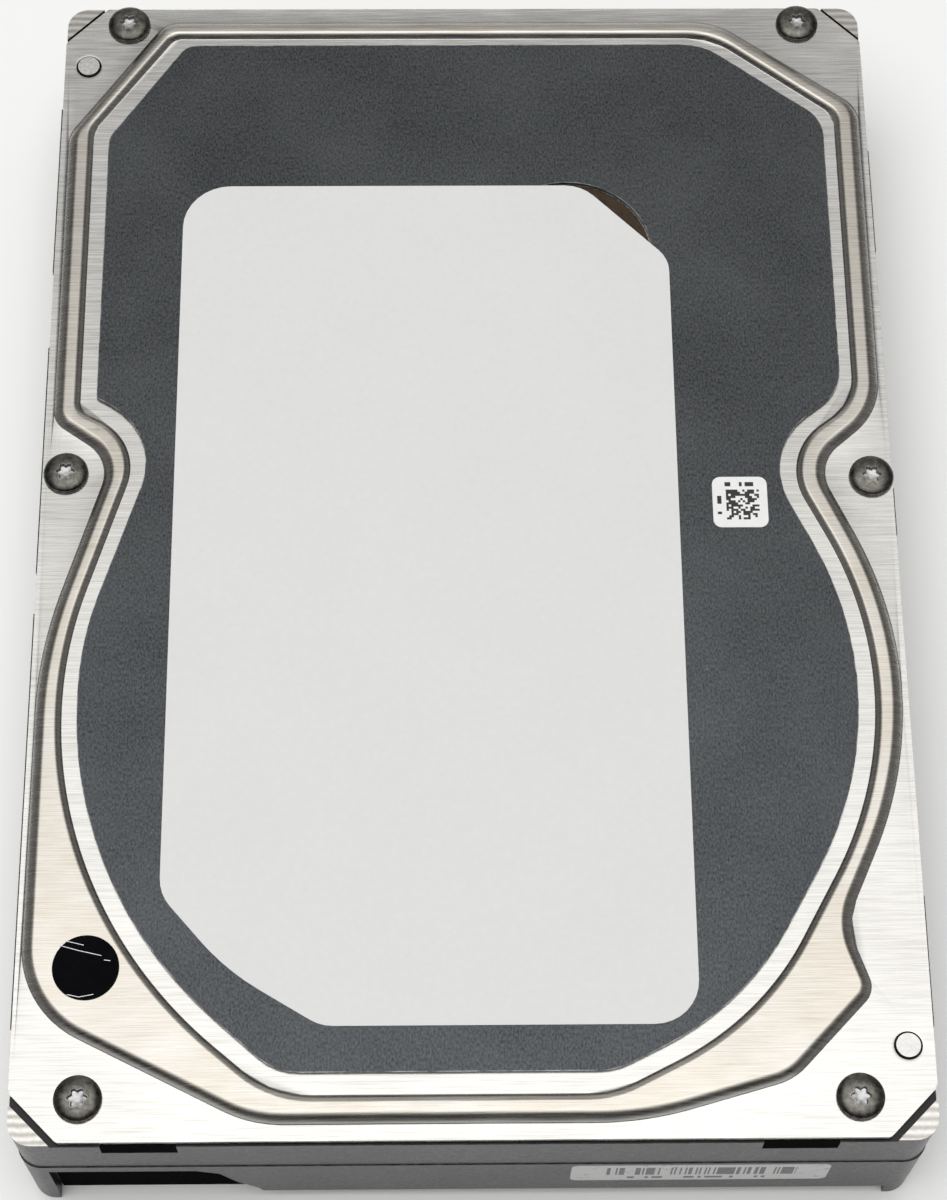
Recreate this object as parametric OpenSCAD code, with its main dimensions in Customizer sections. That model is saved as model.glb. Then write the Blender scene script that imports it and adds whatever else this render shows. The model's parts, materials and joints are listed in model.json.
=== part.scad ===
// Hard disk drive, 3.5-inch form factor, cover side up.
// Origin: centre of the footprint at the height of the feet. +Y is the connector end, +Z is up.

/* [Case] */
// Overall width across the side pads
case_w = 101.6; // [101.2:0.1:101.9]
// Overall length
case_l = 147; // [146.8:0.1:147.2]
// Height of the casting's rim, under the cover gasket
rim_z = 24.1; // [24:0.05:24.2]
// Height of the inside floor
floor_z = 8.3; // [8.2:0.05:8.4]
// Height of the deck's underside
under_z = 5.2; // [5:0.1:5.4]
// Corner radius of the casting
case_r = 2.6; // [1.5:0.1:3]
// How far the side pads stand proud of the walls
pad_out = 0.25; // [0.15:0.05:0.35]

/* [Cover] */
// Thickness of the pressed cover sheet
sheet_t = 0.8; // [0.7:0.05:0.85]
// Compressed thickness of the gasket
gasket_t = 0.3; // [0.2:0.05:0.4]
// Rise of the pressed bead above the flange
bead_rise = 0.8; // [0.6:0.05:0.9]
// Drop from the bead to the middle panel
panel_drop = 0.6; // [0.4:0.05:0.7]
// Thickness of the damping plate
plate_t = 0.5; // [0.3:0.05:0.5]
// Thickness of the paper and foil labels
foil_t = 0.1; // [0.05:0.01:0.1]

/* [Mounting holes] */
// Radius of the tapped mounting holes
mount_r = 1.42; // [1.35:0.01:1.5]
// Height of the side holes
side_hole_z = 6.35; // [6.3:0.01:6.4]
// Spacing of the bottom holes across the case
bottom_span = 95.25; // [95:0.05:95.5]
// Depth of the side holes
side_depth = 3.6; // [3:0.1:3.8]
// Depth of the bottom holes
bottom_depth = 4.4; // [4:0.1:4.6]

/* [Platters] */
// Platter radius
platter_r = 47.5; // [47:0.1:47.5]
// Platter thickness
platter_t = 1.27; // [1:0.01:1.27]
// Spacing from one platter to the next
platter_pitch = 4; // [3.95:0.01:4.05]
// Height of the lowest platter's lower face
stack_z = 10.6; // [10.55:0.01:10.65]

/* [Head arms] */
// Distance from the pivot to the heads
arm_len = 52; // [51.9:0.05:52.1]
// Distance from the spindle to the parked heads
park_r = 49.8; // [49.7:0.05:49.9]
// Gap between an arm and a platter
arm_gap = 0.5; // [0.48:0.01:0.52]

/* [Hidden] */
$fn = 64;
e = 0.01;

// Plan
half_w = case_w / 2;
wall_x = half_w - pad_out;
end_y = case_l / 2;
spindle = [0, -22.5];
pivot = [12.6, 36.5];
well_r = platter_r + 1;
lip_z = 3;
parting_z = 15;
pad_top_z = 25;
recess_depth = 1.4;

// Mounting holes, measured from the connector end
side_hole_y = [for (d = [28.5, 88.5, 130.1]) end_y - d];
bottom_hole_y = [for (d = [41.28, 85.73]) end_y - d];

// Cover levels
flange_z = rim_z + gasket_t;
flange_top = flange_z + sheet_t;
bead_top = flange_top + bead_rise;
panel_top = bead_top - panel_drop;
panel_z = panel_top - sheet_t;
dimple_z = panel_z - 0.9;
port = [-42.6, -53.85];
cover_screw_at = [[-42.6, 70.8], [42.6, 70.8], [-47.7, 7.1], [48.0, 6.3], [-42.9, -68.4], [42.0, -68.7]];
pin_at = [[-47.5, 64.6], [47.6, -63]];

// Head arm geometry
pivot_to_spindle = norm(pivot - spindle);
spindle_dir = atan2(spindle.y - pivot.y, spindle.x - pivot.x);
park_dir = spindle_dir - swing_at(park_r);
platter_top = [for (k = [0:2]) stack_z + platter_pitch * k + platter_t];
stack_top = platter_top[2];
sheet_z = 0.38;
sheet_thin = 0.12;
coil_z = 14.5;
coil_t = 2.2;
bearing_r = 6.35;
block_r = 9.5;

// Motor levels
flange_plate_r = 18;
motor_hole_r = 12.45;
hub_r = 12.45;
hub_z = 9.1;
spacer_r = 15.8;

// Circuit board
board_z = 1.4;
board_t = 1;
board_top = board_z + board_t;
board_screw_at = [[-39, 66], [40.5, 57], [-39.5, 30], [39.5, 20.5], [-24, 13], [24, 13]];
motor_screw_r = 15.3;
feed_at = [-18, 57];
feed_size = [20, 5];

// Outlines: each corner is [x, y, corner radius], clockwise from the top left
foot_line = [
    [-37.8, 71, 3], [31.9, 71, 9], [49.4, 58.2, 4], [49.4, 15.1, 9], [41.2, 8, 5], [54.2, -20.9, 48],
    [41.4, -49.1, 8], [44.1, -56.8, 2.4], [34.8, -66.5, 7], [18.6, -71.1, 38], [-24.1, -71.1, 14],
    [-49.6, -58.2, 11.6], [-49.6, -15.8, 55], [-42.1, 9, 5], [-49.3, 14.1, 3], [-49.3, 54.4, 4]
];
panel_line = [
    [-36.8, 68.6, 1.5], [31.4, 68.6, 9], [46.5, 57, 2.5], [46.5, 16.3, 7], [37.1, 9.1, 8], [52.4, -22.7, 46],
    [31.7, -59.9, 34], [15.2, -68.2, 12], [-21.9, -68.2, 12], [-46.8, -47.1, 52], [-46.8, -15.2, 50],
    [-38.6, 11.4, 7.4], [-46.45, 15.3, 2], [-46.45, 54.9, 3]
];
plate_line = [
    [-35.1, 67.3, 2.5], [30.2, 67.35, 8], [45, 56.1, 5], [45, 17.5, 6], [34.7, 9.6, 9.5], [50.3, -23, 44],
    [30, -58.5, 34], [15.5, -65.75, 8], [-21.6, -65.75, 7], [-45, -45, 50], [-45, -14.7, 40],
    [-36.4, 12.2, 9.4], [-44.45, 17, 0.3], [-44.45, 53.6, 2.5]
];
label_line = [
    [-34.8, 46.4, 5.8], [14.4, 46.4, 5], [24.9, 35.9, 4], [24.9, -60.6, 5], [-16.7, -60.6, 5],
    [-27.2, -54.2, 28], [-34.8, -45.4, 5]
];
cover_line = [
    [-50.5, 68.2, 0.8], [-45.4, 73.3, 0.8], [45.4, 73.3, 0.8], [50.5, 68.2, 0.8], [50.5, -67.6, 0.8],
    [45.1, -73.1, 0.8], [-45.1, -73.1, 0.8], [-50.5, -67.6, 0.8]
];
board_line = [
    [-43.2, 71, 1.5], [-8.6, 71, 0.5], [-8.6, 68.2, 0.5], [37.1, 68.2, 0.5], [37.1, 71, 0.5],
    [43.2, 71, 1.5], [43.2, 18, 1.5], [34, 8.5, 3], [-34, 8.5, 3], [-43.2, 18, 1.5]
];

// Angle at the pivot between the spindle and a head at radius r
function swing_at(r) =
    acos((pow(pivot_to_spindle, 2) + pow(arm_len, 2) - r * r) / (2 * pivot_to_spindle * arm_len));

function unit(v) = v / norm(v);

// Arc that rounds corner c between its neighbours p and n
function round_corner(p, c, n) =
    let (
        at = [c.x, c.y],
        u = unit([p.x, p.y] - at),
        v = unit([n.x, n.y] - at),
        half = acos(u * v) / 2,
        centre = at + unit(u + v) * c.z / sin(half),
        start = at + u * c.z / tan(half) - centre,
        turn = (u.x * v.y - u.y * v.x > 0 ? -1 : 1) * (180 - 2 * half),
        steps = max(1, ceil(abs(turn) / (c.z > 20 ? 4 : 12)))
    )
    [
        for (i = [0:steps])
            let (a = turn * i / steps)
            centre + [start.x * cos(a) - start.y * sin(a), start.x * sin(a) + start.y * cos(a)]
    ];

// Closed outline through rounded corners
function outline(c) =
    let (n = len(c))
    [for (i = [0:n - 1]) each round_corner(c[(i + n - 1) % n], c[i], c[(i + 1) % n])];

// Part of a ring from angle a0 to a1
function sector(r0, r1, a0, a1) =
    let (n = ceil((a1 - a0) / 4))
    concat(
        [for (i = [0:n]) r1 * [cos(a0 + (a1 - a0) * i / n), sin(a0 + (a1 - a0) * i / n)]],
        [for (i = [n:-1:0]) r0 * [cos(a0 + (a1 - a0) * i / n), sin(a0 + (a1 - a0) * i / n)]]
    );

// Point on a cubic curve
function curve(p, t) =
    pow(1 - t, 3) * p[0] + 3 * pow(1 - t, 2) * t * p[1] + 3 * (1 - t) * t * t * p[2] + pow(t, 3) * p[3];

module slab(z0, z1) translate([0, 0, z0]) linear_extrude(z1 - z0) children();
module tube(r0, r1, z0, z1)
    difference() {
        rod(r1, z0, z1);
        rod(r0, z0 - 1, z1 + 1);
    }
module rod(r, z0, z1) translate([0, 0, z0]) cylinder(r = r, h = z1 - z0);
module block(lo, hi) translate(lo) cube(hi - lo);
module at_spindle() translate([spindle.x, spindle.y, 0]) children();
module at_pivot() translate([pivot.x, pivot.y, 0]) children();
module at_arm() at_pivot() rotate(park_dir) children();
module each_at(list) for (p = list) translate([p.x, p.y, 0]) children();
module around(count, r, first = 0)
    for (i = [0:count - 1])
        rotate(first + 360 / count * i)
            translate([r, 0, 0])
                children();

// Screw with a round flat head and a six-lobe recess
module screw(head_r, head_h, shank_r, shank_l, recess_r) {
    difference() {
        union() {
            rod(head_r, 0, head_h * 0.55);
            rod(head_r * 0.9, head_h * 0.5, head_h);
        }
        rod(recess_r, head_h * 0.35, head_h + 1);
        for (i = [0:5])
            rotate(60 * i)
                translate([recess_r, 0, 0])
                    rod(recess_r * 0.3, head_h * 0.35, head_h + 1);
    }
    rod(shank_r, -shank_l, 0);
}

// ---- Housing ----

module case_plan(inset = 0) {
    x = wall_x - inset;
    y = end_y - inset;
    polygon(outline([[-x, y, case_r], [x, y, case_r], [x, -y, case_r], [-x, -y, case_r]]));
}

// Side pads: [side, low y, high y, top z]
side_pads = [
    [-1, 35.3, 59, rim_z], [-1, -5.2, 24.8, rim_z], [-1, -60.2, -10.5, rim_z],
    [1, 38, 52.5, rim_z], [1, -0.7, 5.3, rim_z], [1, -60.5, -45.5, rim_z], [1, -20, -10, 13]
];

module corner_pad()
    intersection() {
        slab(rim_z - 1, pad_top_z) case_plan(0.1);
        slab(rim_z - 1, pad_top_z) polygon([[44.1, 75.2], [75, 75], [75, 44.3]]);
    }

module case_solid() {
    slab(under_z, parting_z) case_plan();
    slab(parting_z - e, rim_z) case_plan(0.12);
    // Lips at the two ends
    slab(lip_z, under_z + e)
        difference() {
            case_plan();
            square([case_w, case_l - 4.6], center = true);
        }
    // Side rails with bosses round the mounting holes
    intersection() {
        slab(0, under_z + e) case_plan();
        union()
            for (s = [-1, 1]) {
                translate([s * (47.4 + 5), 0, 3]) cube([10, case_l, 8], center = true);
                for (y = side_hole_y) translate([s * 48, y, 3]) cube([6.6, 8.6, 8], center = true);
                for (y = bottom_hole_y) translate([s * bottom_span / 2, y, 0]) rod(3.9, 0, under_z + e);
            }
    }
    for (p = side_pads)
        block([p[0] > 0 ? wall_x - 1 : -half_w, p[1], 0.4], [p[0] > 0 ? half_w : 1 - wall_x, p[2], p[3]]);
    for (sx = [0, 1], sy = [0, 1]) mirror([sx, 0, 0]) mirror([0, sy, 0]) corner_pad();
    // Ribs, motor ring and board standoffs under the deck
    at_spindle() {
        tube(flange_plate_r + 0.2, flange_plate_r + 2.2, under_z - 1.2, under_z + e);
        for (a = [-170:40:-10])
            rotate(a)
                block([flange_plate_r + 2, -0.6, under_z - 0.9], [42, 0.6, under_z + e]);
    }
    each_at(board_screw_at) rod(2.6, board_top, under_z + e);
}

module base_casting()
    color("#1b1c1e")
        difference() {
            union() {
                difference() {
                    case_solid();
                    slab(floor_z, rim_z + 2) offset(delta = -1) polygon(outline(foot_line));
                    at_spindle() rod(well_r, floor_z, rim_z + 2);
                }
                // Seats for the pivot, the flex bracket and the latch pin
                at_pivot() rod(5.4, floor_z - e, floor_z + 0.5);
                each_at([[-33, 57], [-3, 57]]) rod(2.8, floor_z - e, floor_z + 1.5);
                translate([40, 24.5, 0]) rod(2, floor_z - e, floor_z + 0.5);
            }
            at_spindle() rod(motor_hole_r, 0, floor_z + 1);
            at_spindle() around(3, motor_screw_r, 30) rod(0.95, under_z - 1, under_z + 2.2);
            each_at(board_screw_at) rod(0.95, board_top - 1, 7.2);
            each_at(cover_screw_at) rod(1.25, rim_z - 8, rim_z + 1);
            each_at(pin_at) rod(1.38, rim_z - 6, rim_z + 1);
            each_at([[-33, 57], [-3, 57], [-44.3, 20.5]]) rod(1.05, 6, floor_z + 3);
            at_pivot() rod(2.02, 6, floor_z + 1);
            translate([40, 24.5, 0]) rod(1.2, 6, floor_z + 1);
            // Slot for the feed-through connector and bay for the interface connector
            translate([feed_at.x, feed_at.y, 5])
                cube([feed_size.x + 0.1, feed_size.y + 0.1, 20], center = true);
            block([-20.2, 62, -1], [38.2, end_y + 1, 6.8]);
            // Threaded holes
            for (s = [-1, 1]) {
                for (y = side_hole_y)
                    translate([s * (half_w - side_depth), y, side_hole_z])
                        rotate([0, s * 90, 0])
                            rod(mount_r, 0, side_depth + 1);
                for (y = bottom_hole_y)
                    translate([s * bottom_span / 2, y, 0]) rod(mount_r, -1, bottom_depth);
            }
            // Front recess, label recess and the two pry slots
            translate([0, recess_depth - end_y, 0])
                rotate([90, 0, 0])
                    linear_extrude(recess_depth + 1)
                        polygon([
                            [-47.3, -1], [-47.3, 13], [-31, 13], [-28.4, 11.6], [-26.6, 7.4], [-24.4, 4.4],
                            [-22.6, -1]
                        ]);
            translate([0, foil_t - end_y, 0])
                rotate([90, 0, 0])
                    linear_extrude(1)
                        end_label_plan();
            for (x = [-40.5, 31.4]) block([x, -end_y - 1, 21.4], [x + 8.3, 1.3 - end_y, rim_z + 2]);
        }

// Sheet-metal cover: flange, rising bead, lower middle panel and two dimples for the shaft screws
module top_cover()
    color("#c3c0b8")
        difference() {
            union() {
                slab(flange_z, flange_top) polygon(outline(cover_line));
                for (i = [0:2])
                    slab(flange_z + e, flange_top + bead_rise * (i + 1) / 3)
                        offset(delta = -0.35 * (i + 0.3))
                            polygon(outline(foot_line));
                at_pivot() rod(8.5 + sheet_t, dimple_z, panel_top - e);
                at_spindle() rod(7 + sheet_t, dimple_z, panel_top - e);
            }
            for (i = [0:2])
                slab(panel_top + panel_drop * i / 3, bead_top + 1)
                    offset(delta = 0.3 * i)
                        polygon(outline(panel_line));
            difference() {
                union() {
                    slab(flange_z - 1, flange_top)
                        difference() {
                            offset(delta = -0.9) polygon(outline(foot_line));
                            offset(delta = 1.4) polygon(outline(panel_line));
                        }
                    slab(flange_z - 1, panel_z)
                        offset(delta = 0.6)
                            polygon(outline(panel_line));
                }
                at_pivot() rod(8.5 + sheet_t, dimple_z - 1, panel_top);
                at_spindle() rod(7 + sheet_t, dimple_z - 1, panel_top);
            }
            at_pivot() rod(8.5, dimple_z + sheet_t, bead_top);
            at_spindle() rod(7, dimple_z + sheet_t, bead_top);
            at_pivot() rod(1.6, dimple_z - 1, bead_top);
            at_spindle() rod(1.6, dimple_z - 1, bead_top);
            each_at(cover_screw_at) rod(1.75, flange_z - 1, bead_top);
            each_at(pin_at) rod(1.8, flange_z - 1, bead_top);
            translate([port.x, port.y, 0]) rod(1.2, flange_z - 1, bead_top + 1);
        }

module cover_gasket()
    color("#202020")
        difference() {
            slab(rim_z, flange_z)
                difference() {
                    offset(delta = 0.7) polygon(outline(foot_line));
                    offset(delta = -0.6) polygon(outline(foot_line));
                }
            at_spindle() rod(well_r + 0.05, 0, flange_z + 1);
        }

module damping_plate()
    color("#4a4d52")
        difference() {
            slab(panel_top, panel_top + plate_t) polygon(outline(plate_line));
            at_pivot() rod(10.4, panel_top - 1, bead_top);
            at_spindle() rod(8.5, panel_top - 1, bead_top);
        }

module main_label()
    color("#e6e6e4")
        slab(panel_top + plate_t, panel_top + plate_t + foil_t)
            polygon(outline(label_line));

module matrix_label()
    color("#eeeeee")
        slab(panel_top + plate_t, panel_top + plate_t + foil_t)
            polygon(outline([[28.9, 6, 1], [35.4, 6, 1], [35.4, -0.6, 1], [28.9, -0.6, 1]]));

module end_label_plan()
    polygon(outline([[11, 14.2, 1], [40, 14.2, 1], [40, 7, 1], [11, 7, 1]]));

module end_label()
    color("#c9ccca")
        translate([0, foil_t - end_y, 0])
            rotate([90, 0, 0])
                linear_extrude(foil_t)
                    end_label_plan();

module port_seal()
    color("#141414")
        translate([port.x, port.y, 0])
            rod(3.7, bead_top, bead_top + foil_t);

module cover_screws()
    color("#8d8a84")
        each_at(cover_screw_at)
            translate([0, 0, flange_top])
                screw(2.65, bead_top + foil_t - flange_top, 1.2, 7, 0.95);

module shaft_screws()
    color("#8d8a84")
        each_at([spindle, pivot])
            translate([0, 0, dimple_z + sheet_t])
                screw(3, 0.9, 1.1, 5, 0.95);

module locating_pins()
    color("#8f8f8c")
        each_at(pin_at)
            rod(1.35, rim_z - 6, flange_top + 0.25);

// ---- Spindle motor, fixed side ----

module motor_flange()
    color("#8a8d90")
        at_spindle()
            difference() {
                union() {
                    rod(flange_plate_r, 3.6, under_z);
                    rod(motor_hole_r - 0.05, under_z - e, floor_z);
                    rod(5.2, floor_z - e, 14.4);
                }
                rod(2.02, 0, 20);
                rod(4.3, 7.6, 20);
                around(3, motor_screw_r, 30) rod(1.1, 3, under_z + 1);
                tube(8.5, 11.2, 7.2, floor_z + 1);
            }

module motor_lead()
    color("#b5651d")
        translate([-4, 0, 0])
            rotate([90, 0, 90])
                linear_extrude(8)
                    polygon([
                        [-9, 3.45], [6.4, 3.45], [8.8, board_top], [13, board_top], [13, board_top + 0.15],
                        [8.9, board_top + 0.15], [6.5, 3.6], [-9, 3.6]
                    ]);

module stator_core()
    color("#6f7276")
        at_spindle()
            difference() {
                union() {
                    rod(6.6, 10.4, 13.6);
                    around(9, 0) {
                        block([6, -0.8, 10.4], [10, 0.8, 13.6]);
                        slab(10.4, 13.6) polygon(sector(9.5, 10.3, -14, 14));
                    }
                }
                rod(5.25, 0, 20);
            }

module stator_coils()
    color("#b87333")
        at_spindle()
            around(9, 0)
                difference() {
                    block([6.9, -1.6, 9.6], [9.2, 1.6, 14.3]);
                    block([6, -0.85, 10.35], [10, 0.85, 13.65]);
                }

module spindle_shaft()
    color("#b9bbbd")
        at_spindle()
            difference() {
                rod(2, 4.2, dimple_z);
                rod(1.12, dimple_z - 6, dimple_z + 1);
            }

// ---- Spindle motor, turning side ----

module spindle_hub()
    color("#c8cacc")
        at_spindle()
            difference() {
                union() {
                    rod(hub_r, hub_z, stack_top);
                    rod(15.8, hub_z, stack_z);
                }
                rod(11.6, hub_z - 1, 16.5);
                rod(4, hub_z, 30);
                around(6, 8.8, 30) rod(0.95, 16, stack_top + 1);
            }

module bearing_sleeve() color("#c9b48a") at_spindle() tube(2.04, 4, 8, stack_top);
module rotor_magnet() color("#3a3a3c") at_spindle() tube(10.75, 11.58, 9.4, 16.3);

module platter(k)
    color("#d5d8db")
        at_spindle()
            tube(hub_r + 0.05, platter_r, platter_top[k] - platter_t, platter_top[k]);
module platter_1() platter(0);
module platter_2() platter(1);
module platter_3() platter(2);

module spacer(k)
    color("#b4b7ba")
        at_spindle()
            tube(hub_r + 0.05, spacer_r, platter_top[k], platter_top[k + 1] - platter_t);
module spacer_1() spacer(0);
module spacer_2() spacer(1);

module disk_clamp()
    color("#bfc2c5")
        at_spindle()
            difference() {
                union() {
                    rod(15.6, stack_top, stack_top + 0.9);
                    rod(12, stack_top + 0.8, stack_top + 1.4);
                }
                rod(4.4, stack_top - 1, 30);
                around(6, 8.8, 30) rod(1.05, stack_top - 1, 30);
                around(6, 8.8, 0) rod(0.9, stack_top - 1, 30);
                around(12, 13.8, 0) rod(0.7, stack_top - 1, 30);
            }

module clamp_screws()
    color("#77797c")
        at_spindle()
            around(6, 8.8, 30)
                translate([0, 0, stack_top + 1.4])
                    screw(1.9, 0.9, 0.9, 4, 0.6);

// ---- Head actuator ----

module pivot_shaft()
    color("#aaacae")
        at_pivot()
            difference() {
                union() {
                    rod(5, floor_z + 0.5, floor_z + 0.9);
                    rod(3, floor_z + 0.8, dimple_z);
                    rod(2, 6.2, floor_z + 0.6);
                }
                rod(1.12, dimple_z - 6, dimple_z + 1);
            }

module pivot_bearing() color("#9a9c9e") at_pivot() tube(3.03, bearing_r - 0.03, 9.4, 22.2);

// Comb of four arms on one hub; the arms lie along the local X axis
arm_levels = [
    [8.95, stack_z - arm_gap],
    for (k = [0:1]) [platter_top[k] + arm_gap, platter_top[k + 1] - platter_t - arm_gap],
    [stack_top + arm_gap, stack_top + arm_gap + 1.2]
];
block_top = arm_levels[3][1];

module arm_plan()
    polygon(outline([
        [6, 7, 0.5], [33, 3.2, 2.5], [38.5, 1.4, 1], [38.5, -1.4, 1], [33, -3.2, 2.5], [6, -7, 0.5]
    ]));

module arm_block()
    color("#b9bcbf")
        at_arm()
            difference() {
                union() {
                    rod(block_r, arm_levels[0][0], block_top);
                    slab(arm_levels[0][0], block_top)
                        polygon(outline([[-4, -9.6, 0.5], [13, -9.6, 1], [10.4, 6, 2], [-4, 6, 0.5]]));
                    for (l = arm_levels) slab(l[0], l[1]) arm_plan();
                }
                rod(bearing_r, 0, 30);
                slab(0, 30) polygon(outline([[17, 3, 1], [28, 1.6, 0.7], [28, -1.6, 0.7], [17, -3, 1]]));
            }

module voice_coil()
    color("#b87333")
        at_arm()
            slab(coil_z, coil_z + coil_t)
                difference() {
                    polygon(sector(15, 29, 164, 196));
                    polygon(sector(18.4, 25.6, 170.5, 189.5));
                }

module coil_fork()
    color("#2b2b2d")
        at_arm()
            difference() {
                slab(coil_z, coil_z + coil_t) {
                    polygon(sector(6, 30.5, 160.5, 199.5));
                    polygon(sector(30, 32, 162, 165));
                }
                slab(coil_z - 1, coil_z + coil_t + 1) polygon(sector(14.95, 29.05, 163.8, 196.2));
                rod(block_r + 0.03, 0, 30);
            }

// Heads: [height of the sheet's lower face, +1 facing up or -1 facing down]
head_levels = [
    for (k = [0:2]) each [
        [platter_top[k] - platter_t - sheet_z - sheet_thin, 1],
        [platter_top[k] + sheet_z, -1]
    ]
];

module suspensions()
    color("#c4c6c8")
        at_arm()
            for (h = head_levels)
                slab(h[0], h[0] + sheet_thin) {
                    polygon([
                        [33.5, 2.6], [38, 2.6], [arm_len - 3, 1], [arm_len + 0.8, 0.5], [54.8, 0.35],
                        [54.8, -0.35], [arm_len + 0.8, -0.5], [arm_len - 3, -1], [38, -2.6], [33.5, -2.6]
                    ]);
                }

module head_sliders()
    color("#3c3c40")
        at_arm()
            for (h = head_levels)
                translate([arm_len, 0, h[0] + (h[1] > 0 ? sheet_thin : -0.28)])
                    block([-0.6, -0.5, 0], [0.6, 0.5, 0.28]);

module preamp_board()
    color("#c8860a")
        at_arm() {
            block([-3, -10, 11.4], [12, -9.6, 19.6]);
            block([3, -10.8, 13], [8, -10, 18]);
        }

// Ribbon from the bracket's post to the arm block
loop_curve = [[-4.6, 52.4], [-15, 50], [-11, 36.37], [-2.9, 40.3]];
loop_n = 18;
function loop_side(t, s) =
    let (d = unit(curve(loop_curve, t + 0.01) - curve(loop_curve, t)))
    curve(loop_curve, t) + s * 0.1 * [-d.y, d.x];

module flex_loop()
    color("#c8860a")
        slab(11.4, 19.6)
            polygon([
                for (i = [0:loop_n]) loop_side(i / loop_n, 1),
                for (i = [loop_n:-1:0]) loop_side(i / loop_n, -1)
            ]);

// ---- Voice-coil magnets, stops and latch ----

module yoke(z0, z1)
    color("#a9acaf")
        at_pivot()
            difference() {
                slab(z0, z1) polygon(sector(12.5, 33.5, -12, 91));
                each_at(post_at) rod(1.3, z0 - 1, z1 + 1);
            }
post_at = [for (a = [-8, 86]) 30.9 * [cos(a), sin(a)]];
yoke_low = floor_z + 2.8;
yoke_high = 20.1;
magnet_t = 2.8;

module lower_yoke() yoke(floor_z, yoke_low);
module upper_yoke() yoke(yoke_high, yoke_high + 2.8);
module magnet(z0) color("#8f9498") at_pivot() slab(z0, z0 + magnet_t) polygon(sector(14.5, 30, 7, 78));
module lower_magnet() magnet(yoke_low);
module upper_magnet() magnet(yoke_high - magnet_t);

module yoke_posts()
    color("#97999b")
        at_pivot()
            each_at(post_at)
                tube(1.15, 1.8, yoke_low, yoke_high);

module crash_stops()
    color("#5b2f2a")
        at_pivot()
            for (a = [1.1, 83.6])
                rotate(a)
                    translate([20, 0, 0])
                        rod(1.7, yoke_low, yoke_high);

module latch_pin() color("#aaacae") translate([40, 24.5, 0]) rod(1.2, 6, 17.4);

module actuator_latch()
    color("#d8d2c0")
        difference() {
            union() {
                translate([40, 24.5, 0]) rod(3.2, 11.8, 17);
                slab(14.4, 16.9) {
                    polygon([
                        [41.4, 25.4], [46.3, 31.4], [46.3, 43.6], [44.9, 43.9], [44.9, 44.9], [46.3, 45.4],
                        [47.8, 45.4], [47.8, 30.4], [43, 23.8]
                    ]);
                    polygon([[40, 22.6], [31.5, 21.4], [31.5, 25.6], [40, 26.4]]);
                    translate([31.5, 23.5]) circle(r = 2.6);
                }
            }
            translate([40, 24.5, 0]) rod(1.25, 10, 20);
        }

module load_ramp()
    color("#e2ddcf")
        difference() {
            union() {
                at_arm() {
                    for (k = [0:2])
                        slab(platter_top[k] - platter_t - 0.33, platter_top[k] + 0.33)
                            polygon(sector(53, 57.6, -5, 7));
                    slab(floor_z, stack_top + 0.6) polygon(sector(55.3, 57.6, -7, 7));
                }
                slab(floor_z, floor_z + 2) {
                    polygon([[-41.5, 14.5], [-39.4, 18.2], [-43, 23.2], [-47, 20.5]]);
                    translate([-44.3, 20.5]) circle(r = 3);
                }
            }
            at_spindle() rod(48.2, 0, 30);
            translate([-44.3, 20.5, 0]) rod(1.2, 0, 30);
        }

// ---- Filters ----

module recirculation_filter()
    color("#ecebe6")
        at_spindle()
            rotate(-43)
                block([49.7, -4.5, floor_z], [52.1, 4.5, 20]);

module breather_filter()
    color("#dcdad2")
        translate([port.x, port.y, 0]) {
            rod(3.4, floor_z, 22.4);
            rod(2.2, 22.3, 23.6);
        }

// ---- Inside wiring ----

module flex_bracket()
    color("#b0b2b4")
        difference() {
            union() {
                slab(floor_z + 1.5, floor_z + 2.4)
                    polygon(outline([[-36, 60.5, 2], [0, 60.5, 2], [0, 53, 2], [-36, 53, 2]]));
                block([-8, 52.6, floor_z + 1.5], [-4.8, 53.4, 19.6]);
            }
            each_at([[-33, 57], [-3, 57]]) rod(1.2, 0, 30);
        }

module interior_screws() {
    color("#77797c") {
        each_at([[-33, 57], [-3, 57]]) translate([0, 0, floor_z + 2.4]) screw(1.9, 0.9, 1, 4, 0.6);
        translate([-44.3, 20.5, floor_z + 2]) screw(1.9, 0.9, 1, 4, 0.6);
        at_pivot() each_at(post_at) translate([0, 0, yoke_high + 2.8]) screw(1.9, 0.9, 1, 8, 0.6);
    }
}

module feedthrough_connector()
    color("#1d1d1f")
        translate([feed_at.x, feed_at.y, 0]) {
            block(
                [-feed_size.x / 2, -feed_size.y / 2, board_top],
                [feed_size.x / 2, feed_size.y / 2, floor_z + 1.5]
            );
        }

// ---- Circuit board ----

module circuit_board()
    color("#1f6a4a")
        difference() {
            slab(board_z, board_top) polygon(outline(board_line));
            each_at(board_screw_at) rod(1.15, 0, 5);
        }

module underside_screws()
    color("#77797c") {
        each_at(board_screw_at) translate([0, 0, board_z]) mirror([0, 0, 1]) screw(2, 0.7, 0.9, 5, 0.65);
        at_spindle()
            around(3, motor_screw_r, 30)
                translate([0, 0, 3.6])
                    mirror([0, 0, 1])
                        screw(2, 0.7, 0.9, 3.4, 0.65);
    }

module board_foam()
    color("#303134")
        difference() {
            slab(4.3, under_z) polygon(outline([[-35, 51, 2], [35, 51, 2], [35, 16, 2], [-35, 16, 2]]));
            each_at(board_screw_at) rod(2.8, 0, 10);
        }

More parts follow.
